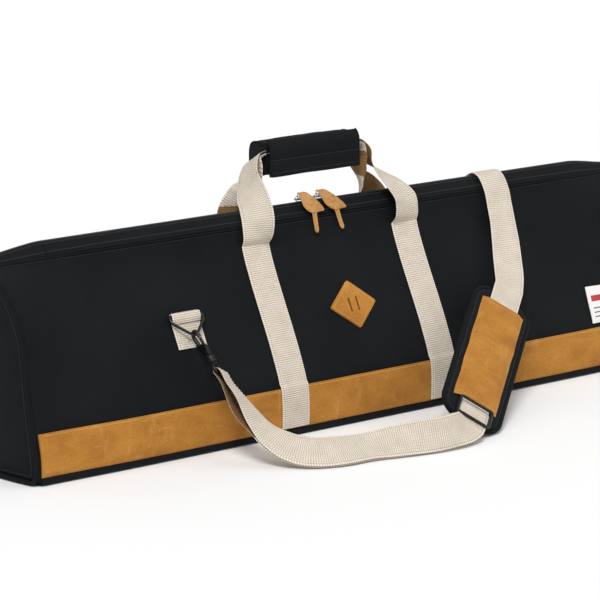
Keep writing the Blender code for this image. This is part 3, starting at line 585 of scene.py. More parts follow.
def resampled(line, pitch):
    """Evenly spaced (point, direction, share of the line) along a polyline."""
    line = [Vector(p) for p in line]
    total = sum((b - a).length for a, b in zip(line, line[1:]))
    places = []
    target = pitch / 2
    covered = 0.0
    for a, b in zip(line, line[1:]):
        length = (b - a).length
        while length > 0 and target <= covered + length:
            places.append((a.lerp(b, (target - covered) / length), (b - a) / length, target / total))
            target += pitch
        covered += length
    return places


# A stitch's rings as (share of its length, share of its radius, rise in radii)
STITCH = ((-0.5, 0.45, -0.4), (-0.3, 1, 0.45), (0, 1.05, 0.75), (0.3, 1, 0.45), (0.5, 0.45, -0.4))
STITCH_SIDES = 6


def stitches(name, lines, look, body, pitch=0.0034, length=0.0025, radius=0.00030):
    """Thread stitches along lines; each line is a list of (point, outward normal)."""
    points, faces = [], []
    for line in lines:
        normals = [Vector(normal) for point, normal in line]
        for place, along, share in resampled([point for point, normal in line], pitch):
            spot = share * (len(normals) - 1)
            low = int(spot)
            out = normals[low].lerp(normals[min(low + 1, len(normals) - 1)], spot - low).normalized()
            side = along.cross(out).normalized()
            faces += tube_faces(len(STITCH), STITCH_SIDES, len(points))
            for step, girth, rise in STITCH:
                for k in range(STITCH_SIDES):
                    angle = 2 * pi * k / STITCH_SIDES
                    spoke = side * cos(angle) + out * sin(angle)
                    points.append(place + along * step * length + out * rise * radius
                                  + spoke * radius * girth)
    return finish(add_mesh(name, points, faces), look, body)


def box_stitch(place, x_low, x_high, low, high):
    """Lines of a sewn box with a cross in it; place(x, up) gives a point and its normal."""
    corners = [(x_low, low), (x_high, low), (x_high, high), (x_low, high)]
    lines = []
    for first, second in ((0, 1), (1, 2), (2, 3), (3, 0), (0, 2), (1, 3)):
        (ax, az), (bx, bz) = corners[first], corners[second]
        lines.append([place(ax + (bx - ax) * i / 12, az + (bz - az) * i / 12) for i in range(13)])
    return lines


# The shell's surface

def smoothstep(value):
    value = min(max(value, 0.0), 1.0)
    return value * value * (3 - 2 * value)


def section(x):
    weight = smoothstep((abs(x) - BLEND_START_X) / (FRONT_END_X - BLEND_START_X))
    return [(my + (ey - my) * weight, mz + (ez - mz) * weight)
            for (my, mz), (ey, ez) in zip(MID_SECTION, END_SECTION)]


def end_x(y):
    return FRONT_END_X + END_BOW * (1 - (y / HALF_DEPTH) ** 2)


def crest_z(x):
    return CREST_Z - CREST_DROP * smoothstep((abs(x) - DROP_START_X) / (FRONT_END_X - DROP_START_X))


def bowed(share, y):
    """X at a share of the half length, with the bag's ends bowed out."""
    near_end = smoothstep((abs(share) - 0.6) / 0.4)
    return share * (FRONT_END_X + (end_x(y) - FRONT_END_X) * near_end)


def section_at(x, t):
    """Point and outward normal of the front half's section; t runs 0 to 1 from foot to seam."""
    points = section(x)
    spot = min(max(t, 0), 1) * (len(points) - 1)
    i = min(int(spot), len(points) - 2)
    t = spot - i
    place, slope = [], []
    around = points[max(i - 1, 0)], points[i], points[i + 1], points[min(i + 2, len(points) - 1)]
    for b, s, e, a in zip(*around):
        place.append(between(b, s, e, a, t))
        bend, twist = 2 * b - 5 * s + 4 * e - a, 3 * s - b - 3 * e + a
        slope.append(0.5 * ((e - b) + 2 * bend * t + 3 * twist * t * t))
    size = (slope[0] ** 2 + slope[1] ** 2) ** 0.5
    return place, (-slope[1] / size, slope[0] / size)


def t_at_height(x, z):
    low, high = 0.0, 1.0
    for _ in range(22):
        middle = (low + high) / 2
        if section_at(x, middle)[0][1] < z:
            low = middle
        else:
            high = middle
    return (low + high) / 2


# Shallow slanted folds in the fabric: (x, lean, width, depth)
FOLDS = ((0.352, 0.10, 0.012, 0.0016), (-0.372, -0.15, 0.014, 0.0010), (0.395, -0.2, 0.010, 0.0009))


def slack(x, z, side):
    """Inward depth of the fabric's soft hollows, in metres; none at seams and under sewn-on pieces."""
    seed = Vector((3.1 if side < 0 else 9.7, 0, 0))
    broad = noise.noise(Vector((x * 9, z * 11, 0)) + seed)
    small = noise.noise(Vector((x * 26, z * 17, 4)) + seed)
    depth = 0.0010 + 0.0012 * broad + 0.0005 * small
    on_panel = smoothstep((z - 0.06) / 0.05) * smoothstep((0.225 - z) / 0.03)
    for place, lean, width, deep in FOLDS:
        away = (x - place - lean * (z - 0.14)) / width
        depth += deep * 2.718 ** (-away * away) * on_panel
    loose = smoothstep((z - BAND_HIGH - 0.002) / 0.03) * smoothstep((0.228 - z) / 0.02)
    loose *= smoothstep((FRONT_END_X - abs(x)) / 0.03)
    near = min(abs(x - FRONT_TAB_X * -side), abs(x + HANDLE_X), abs(x - HANDLE_X), abs(x - PATCH_X) + 0.004)
    return max(depth, 0) * loose * smoothstep((near - 0.012) / 0.03)


def skin(share, t, side, lift=0.0):
    """World point and normal on a side panel; side is -1 for the front."""
    x = share * FRONT_END_X
    (y, z), (ny, nz) = section_at(x, t)
    lift -= slack(x, z, side)
    y, z = y + ny * lift, z + nz * lift
    return Vector((bowed(share, y), -side * y, z)), Vector((0, -side * ny, nz))


def skin_at(x, z, side, lift=0.0):
    return skin(x / FRONT_END_X, t_at_height(x, z), side, lift)


def shares(count):
    """Stations along the bag, closer together near its ends."""
    return [sin(pi / 2 * (2 * i / count - 1) * 0.9) / sin(pi / 2 * 0.9) for i in range(count + 1)]


# Side panels, bands and piping

def make_side(word, side):
    rows = [[(skin(share, i / 56, side, 0.0)[0], skin(share, i / 56, side, -0.0022)[0]) for i in range(57)]
            for share in shares(150)]
    finish(slab(word + "_shell", rows), "black_fabric", "bag", word + "_panel")

    rows = []
    for share in shares(150):
        share *= 0.9955
        x = share * FRONT_END_X
        low, high = t_at_height(x, BAND_LOW), t_at_height(x, BAND_HIGH)
        row = []
        for i in range(17):
            k = i / 16
            wave = 0.00035 * noise.noise(Vector((x * 30, k * 2.5, 7 + side)))
            rim = 0.0007 * max(0, 1 - min(k, 1 - k) * 22)
            t = low + (high - low) * k
            row.append((skin(share, t, side, 0.0022 + wave - rim)[0], skin(share, t, side, 0.0003)[0]))
        rows.append(row)
    finish(slab(word + "_band", rows), "tan_suede", "bag", word + "_suede_band")
    line = [skin_at(-0.443 + 0.886 * i / 90, BAND_HIGH - 0.0024, side, 0.0021) for i in range(91)]
    stitches(word + "_band_thread", [line], "tan_thread", "bag")

    rows = []
    for share in shares(150):
        share *= 0.994
        y = section_at(share * FRONT_END_X, 0.0)[0][0]
        row = []
        for i in range(13):
            angle = pi * i / 12
            out = 0.0006 + 0.0030 * sin(angle) ** 0.6
            row.append(Vector((bowed(share, y), -side * (y - out), 0.0052 - 0.0038 * cos(angle))))
        rows.append([(p, Vector((row[0].x, row[0].y - side * 0.0004, p.z))) for p in row])
    finish(slab(word + "_base_binding", rows), "binding", "bag", word + "_bottom_piping")

    seam = [skin(share, 0.988, side, 0.0007)[0] for share in shares(120)]
    finish(wire(word + "_gusset_cord", seam, 0.0011), "binding", "bag")
    line = [skin(share, 0.965, side, 0.0002) for share in shares(110)]
    stitches(word + "_gusset_thread", [line], "black_thread", "bag", 0.0032)


def end_loop(inset, steps):
    """An end's closed, smooth (y, z) outline, with its edge moved inward."""
    foot = [(END_SECTION[0][0] * i / 4, END_SECTION[0][1] - 0.0005) for i in range(5)]
    points = foot + END_SECTION[1:] + [(0, crest_z(FRONT_END_X))]
    cut_corners = [points[0]]
    for (ay, az), (by, bz) in zip(points, points[1:]):
        cut_corners.append((ay * 0.75 + by * 0.25, az * 0.75 + bz * 0.25))
        cut_corners.append((ay * 0.25 + by * 0.75, az * 0.25 + bz * 0.75))
    cut_corners.append(points[-1])
    normals = []
    for (ay, az), (by, bz) in zip(cut_corners, cut_corners[1:]):
        size = ((by - ay) ** 2 + (bz - az) ** 2) ** 0.5
        normals.append((-(bz - az) / size, (by - ay) / size))
    moved = []
    for i, (y, z) in enumerate(cut_corners):
        before, after = normals[max(i - 1, 0)], normals[min(i, len(normals) - 1)]
        ny, nz = before[0] + after[0], before[1] + after[1]
        scale = -2 * inset / (ny * ny + nz * nz)
        moved.append((0, y + ny * scale, z + nz * scale))
    half = [(p.y, p.z) for p in smooth_path(moved, steps)]
    return half + [(-y, z) for y, z in reversed(half[1:-1])]


def make_end(word, sign):
    """A puffed end panel on a flat back, its piping cord and its seam."""
    loop = end_loop(0.0028, 4)
    centre_z = 0.112
    rings = 16
    points = []
    for ring in range(rings + 1):
        k = (ring / rings) ** 0.8
        for y, z in loop:
            yy, zz = y * k, centre_z + (z - centre_z) * k
            puff = 0.0022 * (1 - k ** 3) + 0.0008 * noise.noise(Vector((yy * 18, zz * 18, sign * 5)))
            dimple = 0.0016 * k ** 10
            points.append(Vector((sign * (end_x(yy) + 0.0018 + puff * (1 - k ** 6) - dimple), yy, zz)))
    points += [Vector((sign * (end_x(y) - 0.0006), y, z)) for y, z in loop]
    faces = tube_faces(rings + 2, len(loop), 0, False)
    faces.append(tuple(range(len(points) - len(loop), len(points))))
    made = add_mesh(word + "_end", points, faces, [(p.y, p.z) for p in points])
    built = bmesh.new()
    built.from_mesh(made.data)
    bmesh.ops.remove_doubles(built, verts=built.verts, dist=0.00001)
    bmesh.ops.recalc_face_normals(built, faces=built.faces)
    built.to_mesh(made.data)
    built.free()
    finish(made, "black_fabric", "bag", word + "_end_panel")

    cord = [Vector((sign * (end_x(y) + 0.0036), y, z)) for y, z in end_loop(0.0006, 4)]
    finish(wire(word + "_end_cord", cord, 0.0026, True), "binding", "bag", word + "_end_piping")
    flange = [Vector((sign * (end_x(p.y) + 0.0002), p.y * 1.004, p.z + 0.0004)) for p in cord]
    finish(wire(word + "_end_seam", flange, 0.0012, True, 3), "binding", "bag")
    line = [((sign * (end_x(y) + 0.0030), y, z), (sign, 0, 0)) for y, z in end_loop(0.0075, 3)]
    stitches(word + "_end_thread", [line], "black_thread", "bag", 0.0036)


# Top of the bag

def top_x(x, y):
    """X on the top pieces, which follow the bowed ends."""
    stretch = smoothstep((abs(x) - DROP_START_X) / (FRONT_END_X - DROP_START_X))
    return x + (1 if x > 0 else -1) * (end_x(y) - FRONT_END_X) * stretch


def on_top(x, y, side, z):
    return Vector((top_x(x, y), -side * y, z))


def crest_row(x, side):
    """(y, z) across the zip flap's outer face on the front half: seam to zip edge."""
    seam_z = section(x)[-1][1]
    top = crest_z(x)
    row = []
    for i in range(9):
        k = i / 8
        y = -SEAM_Y + 0.0003 + (SEAM_Y - 0.0040) * k
        z = seam_z + 0.0009 + (top - seam_z - 0.0012) * k ** 0.85
        z += 0.0007 * sin(pi * k) + 0.00035 * noise.noise(Vector((x * 35, k * 3, side * 4)))
        row.append((y, z))
    return row


def make_flap(name, side, body, x_low, x_high, steps, *nodes):
    rows, hem, foot = [], [], []
    for i in range(steps + 1):
        x = x_low + (x_high - x_low) * i / steps
        row = crest_row(x, side)
        rows.append([(on_top(x, y, side, z), Vector((top_x(x, y), -side * (y + 0.0006), z - 0.0017)))
                     for y, z in row])
        for line, (y, z) in ((hem, row[7]), (foot, row[2])):
            line.append((on_top(x, y, side, z + 0.0001), Vector((0, side * 0.7, 0.7))))
    finish(slab(name, rows), "tape_fabric", body, *nodes)
    stitches(name + "_thread", [hem, foot], "black_thread", body, 0.0034, 0.0026, 0.00042)


# (y, depth below the crest) across the zip's tape
TAPE = ((-0.0090, 0.0074), (-0.0060, 0.0045), (-0.0040, 0.0027), (-0.0008, 0.0020))


def make_tape(name, side, body, x_low, x_high, steps):
    """The zip's cloth tape, sewn under the flap's edge."""
    rows = []
    for i in range(steps + 1):
        x = x_low + (x_high - x_low) * i / steps
        rows.append([(on_top(x, y, side, crest_z(x) - low), on_top(x, y, side, crest_z(x) - low - 0.0006))
                     for y, low in TAPE])
    finish(slab(name, rows), "binding", body)


def make_teeth(name, side, body, x_low, x_high, *nodes):
    """One side's zip teeth as curved prongs; the two sides take turns along X."""
    points, faces = [], []
    x = x_low + (0 if side < 0 else TOOTH_PITCH / 2)
    while x < x_high:
        low = crest_z(x) - 0.0004
        faces += tube_faces(5, 5, len(points))
        for k in range(5):
            share = k / 4
            y = side * (0.0034 - 0.0037 * share)
            arch = 0.0009 * sin(pi * (0.15 + 0.75 * share))
            half_x = 0.00062 + 0.00012 * (share > 0.7)
            for dx, dz in ((-half_x, -0.0011), (half_x, -0.0011), (half_x, arch - 0.0001), (0, arch + 0.0002),
                           (-half_x, arch - 0.0001)):
                points.append(Vector((top_x(x, 0) + dx, y, low + dz)))
        x += TOOTH_PITCH
    finish(add_mesh(name, points, faces, None, 60), "zip_teeth", body, *nodes)


def make_zip():
    """The zip and its flaps: the middle opens, and fixed stretches go on to both ends."""
    for word, side, body in (("front", -1, "bag"), ("back", 1, "back_flap")):
        make_flap(word + "_flap", side, body, FLAP_LEFT, FLAP_RIGHT, 120, word + "_zip_flap")
        make_tape(word + "_zip_tape", side, body, FLAP_LEFT, FLAP_RIGHT, 40)
        make_teeth(word + "_teeth", side, body, FLAP_LEFT, FLAP_RIGHT, word + "_zip_coil")
        make_teeth(word + "_end_teeth_left", side, "bag", -TEETH_END_X, FLAP_LEFT)
        make_teeth(word + "_end_teeth_right", side, "bag", FLAP_RIGHT, TEETH_END_X)
        ends = (("left", -TOP_END_X, FLAP_LEFT - FLAP_GAP, 16),
                ("right", FLAP_RIGHT + FLAP_GAP, TOP_END_X, 44))
        for hand, x_low, x_high, steps in ends:
            nodes = [hand + "_top_tab"] if word == "front" else []
            make_flap(f"{word}_tab_{hand}", side, "bag", x_low, x_high, steps, *nodes)
        for hand, x_low, x_high, steps in ends:
            make_tape(f"{word}_tape_{hand}", side, "bag", x_low, x_high, steps)


# Zip sliders and pulls

PULL_LINE = [(-0.0036, 0.2590), (-0.0088, 0.2575), (-0.0132, 0.2515), (-0.0162, 0.2430),
             (-0.0190, 0.2330), (-0.0225, 0.2190), (-0.0262, 0.2085)]
# (distance down the leather, left edge, right edge): a wide leaf, then a narrow strand
PULL_ROWS = [(0.0, -0.0046, 0.0040), (0.0010, -0.0053, 0.0050), (0.0060, -0.0055, 0.0085),
             (0.0140, -0.0053, 0.0158), (0.0190, -0.0042, 0.0202), (0.0225, -0.0020, 0.0228),
             (0.0255, 0.0010, 0.0243), (0.0270, 0.0030, 0.0246), (0.0280, 0.0046, 0.0236),
             (0.0285, 0.0062, 0.0160), (0.0290, 0.0068, 0.0138), (0.0320, 0.0070, 0.0132),
             (0.0400, 0.0071, 0.0131), (0.0485, 0.0072, 0.0131), (0.0505, 0.0078, 0.0125),
             (0.0520, 0.0092, 0.0111)]
PULL_LENGTH = 0.0520
LEAF_LENGTH = 0.0285
STRAND_X = 0.0100


def make_slider(word, x):
    slider = "slider_" + word
    half = [(-0.0058, -0.0024), (-0.0045, -0.0034), (0.0040, -0.0036), (0.0058, -0.0028)]
    outline = half + [(a, -b) for a, b in reversed(half)]
    rings = []
    for z, grow in ((0.2502, -0.0003), (0.2505, 0), (0.2511, 0), (0.25145, -0.0005)):
        rings.append(rounded_loop([(x + a + (grow if a > 0 else -grow), b + (grow if b > 0 else -grow), z)
                                   for a, b in outline], 0.0008, 3))
    finish(tube("slider_plate_" + word, rings, 45), "zip_metal", slider, "zip_slider_" + word)
    skirt = [(-0.0050, -0.0030, 0.2506), (-0.0044, -0.0031, 0.2488)]
    bridge = [(-0.0040, 0, 0.2508), (-0.0039, 0, 0.2528), (-0.0026, 0, BEAM_Z), (0, 0, BEAM_Z + 0.0002)]
    for part, half, radius in (("skirt", skirt, 0.0007), ("bridge", bridge, 0.0006)):
        line = half + [(-a, y, z) for a, y, z in reversed(half) if a < 0]
        line = smooth_path([(x + a, y, z) for a, y, z in line], 5)
        finish(wire(f"slider_{part}_{word}", line, radius), "zip_metal", slider)


def make_pull_ring(word, x):
    """A link through the slider's bridge, stretched up and forward to the leather."""
    tilt = radians(35)
    stretch = Vector((0, -cos(tilt), sin(tilt)))
    middle = Vector((x, 0, BEAM_Z)) + stretch * 0.0010
    ring = []
    for i in range(36):
        angle = 2 * pi * i / 36
        spot = middle + Vector((0, cos(angle), sin(angle))) * 0.0024
        if (spot - middle).dot(stretch) > 0:
            spot += stretch * 0.0020
        ring.append(spot)
    finish(wire("pull_ring_" + word, ring, 0.00055, True), "zip_metal", "pull_" + word, "pull_link_" + word)


def make_pull(word, x, lean, uv_shift):
    """Leather pull that drapes over the flap, with a pressed border and ring, and a rounded strand."""
    drape = smooth_path([(0, y, z) for y, z in PULL_LINE], 8)
    lengths = [0.0]
    for a, b in zip(drape, drape[1:]):
        lengths.append(lengths[-1] + (b - a).length)
    stations = []
    for first, second in zip(PULL_ROWS, PULL_ROWS[1:]):
        count = max(1, round((second[0] - first[0]) / 0.0006))
        stations += [Vector(first).lerp(Vector(second), k / count) for k in range(count)]
    rows, uv_rows = [], []
    columns = 36
    for down, left, right in stations + [Vector(PULL_ROWS[-1])]:
        i = max(k for k, length in enumerate(lengths[:-1]) if length <= down + 1e-9)
        spot = drape[i].lerp(drape[i + 1], (down - lengths[i]) / (lengths[i + 1] - lengths[i]))
        step = (drape[i + 1] - drape[i]).normalized()
        out = Vector((0, step.z, -step.y))
        on_leaf = down < LEAF_LENGTH
        row, uvs = [], []
        for j in range(columns + 1):
            share = j / columns
            across = left + (right - left) * share
            from_strand = abs(across - STRAND_X)
            edge = min(across - left, right - across, down + 0.0002, PULL_LENGTH - down)
            if on_leaf:
                edge = min(edge, LEAF_LENGTH - down + 0.008 * max(0, 1 - from_strand / 0.0045))
            round_off = 0.0009 * (1 - smoothstep(edge / 0.0010))
            ring_gap = abs(((across - 0.0085) ** 2 + (down - 0.0170) ** 2) ** 0.5 - 0.0036)
            press = 0.0009 * max(0, 1 - ring_gap / 0.0010)
            press += 0.0007 * max(0, 1 - abs(edge - 0.0022) / 0.0006) * on_leaf
            fold = 0.0013 * max(0, 1 - from_strand / 0.0013) * smoothstep((down - 0.028) / 0.002)
            fold += 0.0006 * (down > 0.0288)
            curl = 0.0006 * (2 * share - 1) ** 2
            base = Vector((x + across + lean * down, spot.y, spot.z))
            row.append((base + out * (0.0009 + curl - round_off - press - fold),
                        base + out * (-0.0009 + curl + round_off * 0.6)))
            uvs.append((across + uv_shift, down))
        rows.append(row)
        uv_rows.append(uvs)
    finish(slab("pull_tab_" + word, rows, uv_rows), "pull_leather", "pull_" + word, "pull_leather_" + word)


# Handles: each leg is a list of (centre, width direction)

FRONT_LEFT_LEG = [((-0.1090, -0.0268, 0.2210), (1, -0.15, 0)),
                  ((-0.1085, -0.0262, 0.2400), (0.88, -0.46, 0.02)),
                  ((-0.1055, -0.0160, 0.2560), (0.65, -0.74, 0.12)),
                  ((-0.1020, -0.0020, 0.2680), (0.40, -0.82, 0.30)),
                  ((-0.0970, 0.0092, 0.2790), (0.15, -0.87, 0.45)),
                  ((-0.0915, 0.0159, 0.2902), (0.05, -0.86, 0.50))]
FRONT_RIGHT_LEG = [((0.0757, 0.0160, 0.2900), (-0.08, -0.86, 0.49)),
                   ((0.0820, 0.0088, 0.2790), (-0.50, -0.80, 0.28)),
                   ((0.0895, -0.0020, 0.2680), (-0.78, -0.60, 0.14)),
                   ((0.0983, -0.0155, 0.2560), (-0.93, -0.36, 0.04)),
                   ((0.1068, -0.0262, 0.2400), (-0.98, -0.20, 0)),
                   ((0.1090, -0.0268, 0.2210), (-1, -0.15, 0))]
BACK_LEFT_LEG = [((-0.1090, 0.0266, 0.2220), (1, -0.1, 0)),
                 ((-0.1075, 0.0280, 0.2330), (0.98, -0.2, 0)),
                 ((-0.1035, 0.0270, 0.2430), (0.88, -0.46, 0)),
                 ((-0.0985, 0.0225, 0.2535), (0.68, -0.72, 0.12)),
                 ((-0.0940, 0.0167, 0.2642), (0.45, -0.84, 0.28)),
                 ((-0.0886, 0.0150, 0.2768), (0.20, -0.87, 0.42)),
                 ((-0.0856, 0.0150, 0.2885), (0.05, -0.86, 0.50))]
BACK_RIGHT_LEG = [((0.0680, 0.0165, 0.2885), (0, -0.87, 0.49)),
                  ((0.0675, 0.0168, 0.2768), (-0.05, -0.90, 0.42)),
                  ((0.0700, 0.0195, 0.2642), (-0.40, -0.88, 0.20)),
                  ((0.0785, 0.0240, 0.2535), (-0.80, -0.50, 0)),
                  ((0.0915, 0.0275, 0.2430), (-0.97, -0.15, 0)),
                  ((0.1035, 0.0282, 0.2330), (-0.99, -0.10, 0)),
                  ((0.1090, 0.0266, 0.2220), (-1, -0.1, 0))]
# (x, drop) of both loops through the grip, which droop at its mouths
MOUTH = [(GRIP_LEFT - 0.0100, 0.0032), (GRIP_LEFT - 0.0030, 0.0004), (GRIP_LEFT + 0.0060, 0),
         (GRIP_CENTRE.x, 0), (GRIP_RIGHT - 0.0060, 0), (GRIP_RIGHT + 0.0030, 0.0004),
         (GRIP_RIGHT + 0.0100, 0.0032)]


def run_lift(z):
    """The runs lie on the panel and step up over the suede band."""
    return 0.0011 + 0.0020 * smoothstep((BAND_HIGH + 0.005 - z) / 0.004)


def make_run(word, side, hand, x):
    """A handle's webbing down the side panel, sewn along its edges and with a crossed box at its top."""
    def sewn(across, z):
        return skin_at(x + across, z, side, run_lift(z) + 0.0009)
    heights = [RUN_FOOT + (RUN_END - RUN_FOOT) * i / 110 for i in range(111)]
    path = [(skin_at(x, z, side, run_lift(z))[0], (1, 0, 0)) for z in heights]
    finish(ribbon(f"{word}_{hand}_run", path), "beige_webbing", "bag", f"{word}_{hand}_handle_run")
    edge = WEB / 2 - 0.0042
    lines = [[sewn(across, 0.013 + 0.150 * i / 70) for i in range(71)] for across in (-edge, edge)]
    lines += box_stitch(sewn, -0.0148, 0.0148, 0.163, 0.189)
    stitches(f"{word}_{hand}_run_thread", lines, "beige_thread", "bag", 0.0034, 0.0024, 0.00040)


# Painted shade on the front handle's loop: face 1 gets the webbing's dark brown shade colour.
def front_painted_shade(face, place):
    return face > 0


def back_painted_shade(face, place):
    """Painted shade on the back handle's loop: face -1 on its right half and low on its left half, and both
    faces of a stretch of its right leg below the grip.
    """
    if place.x < 0:
        return face < 0 and place.z < 0.247
    return face < 0 or 0.2660 < place.z < 0.2960


def make_loop(word, side, left_leg, right_leg, level, shaded):
    """A handle's free loop, from one run to the other through the grip; level is its place in the grip."""
    foot = skin_at(-HANDLE_X, RUN_END, side, run_lift(RUN_END))[0]
    grip_points = []
    for x, drop in MOUTH:
        place = GRIP_CENTRE + GRIP_WEB_FACE * (level - drop)
        grip_points.append(((x, place.y, place.z), GRIP_WEB_DIR))
    path = [((-HANDLE_X, foot.y, foot.z), (1, 0, 0))] + left_leg + grip_points + right_leg
    path.append(((HANDLE_X, foot.y, foot.z), (-1, 0, 0)))
    made = ribbon(word + "_loop", eased(path, 14), 0.0002, shaded)
    finish(made, "beige_webbing", None, word + "_handle_loop")
    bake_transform(made)


# Padded pieces

def puffed(made, voxel, pressure, cap):
    """Swell a closed piece with a short cloth simulation; no point moves further than cap."""
    remesh = made.modifiers.new("remesh", "REMESH")
    remesh.mode = "VOXEL"
    remesh.voxel_size = voxel
    bpy.context.view_layer.update()
    depsgraph = bpy.context.evaluated_depsgraph_get()
    mesh = bpy.data.meshes.new_from_object(made.evaluated_get(depsgraph))
    made.modifiers.clear()
    made.data = mesh
    rest = [v.co.copy() for v in mesh.vertices]
    cloth = made.modifiers.new("cloth", "CLOTH")
    cloth.settings.use_pressure = True
    cloth.settings.uniform_pressure_force = pressure
    cloth.settings.effector_weights.gravity = 0
    cloth.settings.quality = 5
    cloth.collision_settings.use_collision = False
    scene = bpy.context.scene
    for number in range(1, 17):
        scene.frame_set(number)
    depsgraph = bpy.context.evaluated_depsgraph_get()
    swollen = made.evaluated_get(depsgraph).to_mesh()
    shifts = [vertex.co - place for place, vertex in zip(rest, swollen.vertices)]
    made.evaluated_get(depsgraph).to_mesh_clear()
    made.modifiers.clear()
    for vertex, place, shift in zip(mesh.vertices, rest, shifts):
        vertex.co = place + shift * min(1, cap / max(shift.length, 1e-9))
    scene.frame_set(1)
    fine = made.modifiers.new("fine", "SUBSURF")
    fine.levels = 1
    fine.render_levels = 1
    mesh.shade_smooth()


def grip_oval(inset, count):
    """(y, z) outline of the grip, a soft box."""
    outline = []
    for i in range(count):
        angle = 2 * pi * i / count
        spot = []
        for centre, size, part in zip(GRIP_CENTRE.yz, GRIP_SIZE, (cos(angle), sin(angle))):
            spot.append(centre + (size - inset) / 2 * abs(part) ** 0.62 * (1 if part > 0 else -1))
        outline.append(spot)
    return outline


def make_grip():
    """The padded sleeve round both loops, bound at its ends."""
    rings, uv_rows = [], []
    steps, count = 46, 72
    for i in range(steps + 1):
        k = i / steps
        x = GRIP_LEFT + GRIP_LENGTH * k
        pinch = 0.0012 * max(0, 1 - min(k, 1 - k) * steps / 2.2)
        ring = []
        for y, z in grip_oval(0, count):
            out = Vector((0, y - GRIP_CENTRE.y, z - GRIP_CENTRE.z)).normalized()
            rumple = 0.00063 * noise.noise(Vector((x * 45, y * 60, z * 60)))
            ring.append(Vector((x, y, z)) + out * (rumple - pinch + 0.00032 * sin(pi * k) - 0.0012))
        rings.append(ring)
        uv_rows.append([(x, j / count * 0.14) for j in range(count)])
    sleeve = tube("grip_sleeve", rings, 60, uv_rows)
    puffed(sleeve, 0.0035, 3.0, 0.0009)
    finish(sleeve, "cad_fabric", "handle", "handle_grip")
    for x, word in ((GRIP_LEFT + 0.0010, "left"), (GRIP_RIGHT - 0.0010, "right")):
        ring = [(x, y, z) for y, z in grip_oval(0.0044, 60)]
        finish(wire("grip_binding_" + word, ring, 0.0011, True), "binding", "handle")


def make_grip_flap():
    """The grip's cover: it hangs down the front, lies over the upper edge and is bound on three sides."""
    low = GRIP_CENTRE.z - GRIP_SIZE[1] / 2 + 0.003
    corner_y = GRIP_CENTRE.y - GRIP_SIZE[0] / 2 + 0.010
    corner_z = GRIP_CENTRE.z + GRIP_SIZE[1] / 2 - 0.010
    radius = 0.0138
    profile = [(corner_y - radius, low + (corner_z - low) * i / 16) for i in range(17)]
    for i in range(1, 9):
        angle = radians(180 - 62 * i / 8)
        profile.append((corner_y + radius * cos(angle), corner_z + radius * sin(angle)))
    rows, uv_rows = [], []
    for i in range(61):
        k = i / 60
        x = GRIP_LEFT + 0.0012 + (GRIP_LENGTH - 0.0024) * k
        roll = 0.0006 * max(0, 1 - min(i, 60 - i) / 60 * GRIP_LENGTH / 0.003)
        row, uvs = [], []
        for j, (y, z) in enumerate(profile):
            down = max(0, (low + 0.012 - z) / 0.012)
            wave = 0.0012 * noise.noise(Vector((x * 40, z * 40, 3)))
            wave += 0.0010 * sin(2 * pi * (k * 1.3 + 0.2)) * down
            wave += 0.0014 * max(0, 1 - abs(j - 10) / 2.0)
            slip = 0.0012 * noise.noise(Vector((x * 25, 0, 8))) * down
            y += wave * 0.5 - 0.0006 * down
            row.append((Vector((x, y - 0.0002 + roll, z + slip)), Vector((x, y + 0.0016, z + slip))))
            uvs.append((x, j * 0.0022))
        rows.append(row)
        uv_rows.append(uvs)
    finish(slab("grip_cover_flap", rows, uv_rows), "black_fabric", "grip_cover", "grip_flap")
    outer = [[pair[0] for pair in row] for row in rows]
    border = outer[0][::-1] + [row[0] for row in outer] + outer[-1]
    border = [p + Vector((0, 0.0008, 0)) for p in border]
    finish(wire("grip_cover_binding", border, 0.0013), "binding", "grip_cover")
    lines = [[(row[j], (0, -1, 0)) for row in outer[1:-1]] for j in (2, 10)]
    stitches("grip_cover_thread", lines, "black_thread", "grip_cover")


# Ring tabs, rings and hooks

def tab_point(x, up, out, side):
    """Point on a slanted plane at the panel: up it from the tab's foot, and out from it."""
    y = TAB_FOOT[0] + TAB_UP[0] * up - TAB_UP[1] * out
    z = TAB_FOOT[1] + TAB_UP[1] * up + TAB_UP[0] * out
    return Vector((x, -side * y, z))


def make_tab(word, x, side):
    roll = 0.0027
    route = [(0.0000, 0.0015), (0.010, 0.0015), (0.022, 0.0015), (0.032, 0.0014),
             (BAR_UP - 0.0012, BAR_OUT - roll)]
    for i in range(1, 8):
        angle = radians(-90 + 200 * i / 7)
        route.append((BAR_UP + roll * cos(angle), BAR_OUT + roll * sin(angle)))
    route += [(BAR_UP - 0.0040, BAR_OUT + roll - 0.0005), (BAR_UP - 0.0085, BAR_OUT - 0.0004)]
    points = smooth_path([tab_point(x, up, out, side) for up, out in route], 6)
    made = ribbon(word + "_tab", [(p, (1, 0, 0)) for p in points])
    finish(made, "beige_webbing", "bag", word + "_ring_tab")
    normal = tab_point(x, 0, 1, side) - tab_point(x, 0, 0, side)
    lines = box_stitch(lambda across, up: (tab_point(x + across, up, 0.0024, side), normal),
                       -0.0150, 0.0150, 0.0030, 0.0260)
    stitches(word + "_tab_thread", lines, "beige_thread", "bag", 0.0032, 0.0022, 0.00036)


def make_ring(word, x, side, down, slope):
    """A triangular ring that hangs from the tab's roll; returns its far corner."""
    half, shoulder = WEB / 2 + 0.0027, 0.0080
    plan = [(-half, 0), (half, 0), (half, shoulder), (0.0060, RING_REACH - 0.0034), (0, RING_REACH + 0.0004),
            (-0.0060, RING_REACH - 0.0034), (-half, shoulder)]
    points = [tab_point(x + across, BAR_UP + down * far, BAR_OUT + slope * far, side) for across, far in plan]
    made = wire(word + "_ring_wire", rounded_loop(points, 0.0036, 6), RING_WIRE, True)
    finish(made, "black_metal", "ring_" + word, word + "_ring")
    return tab_point(x, BAR_UP + down * RING_REACH, BAR_OUT + slope * RING_REACH, side)


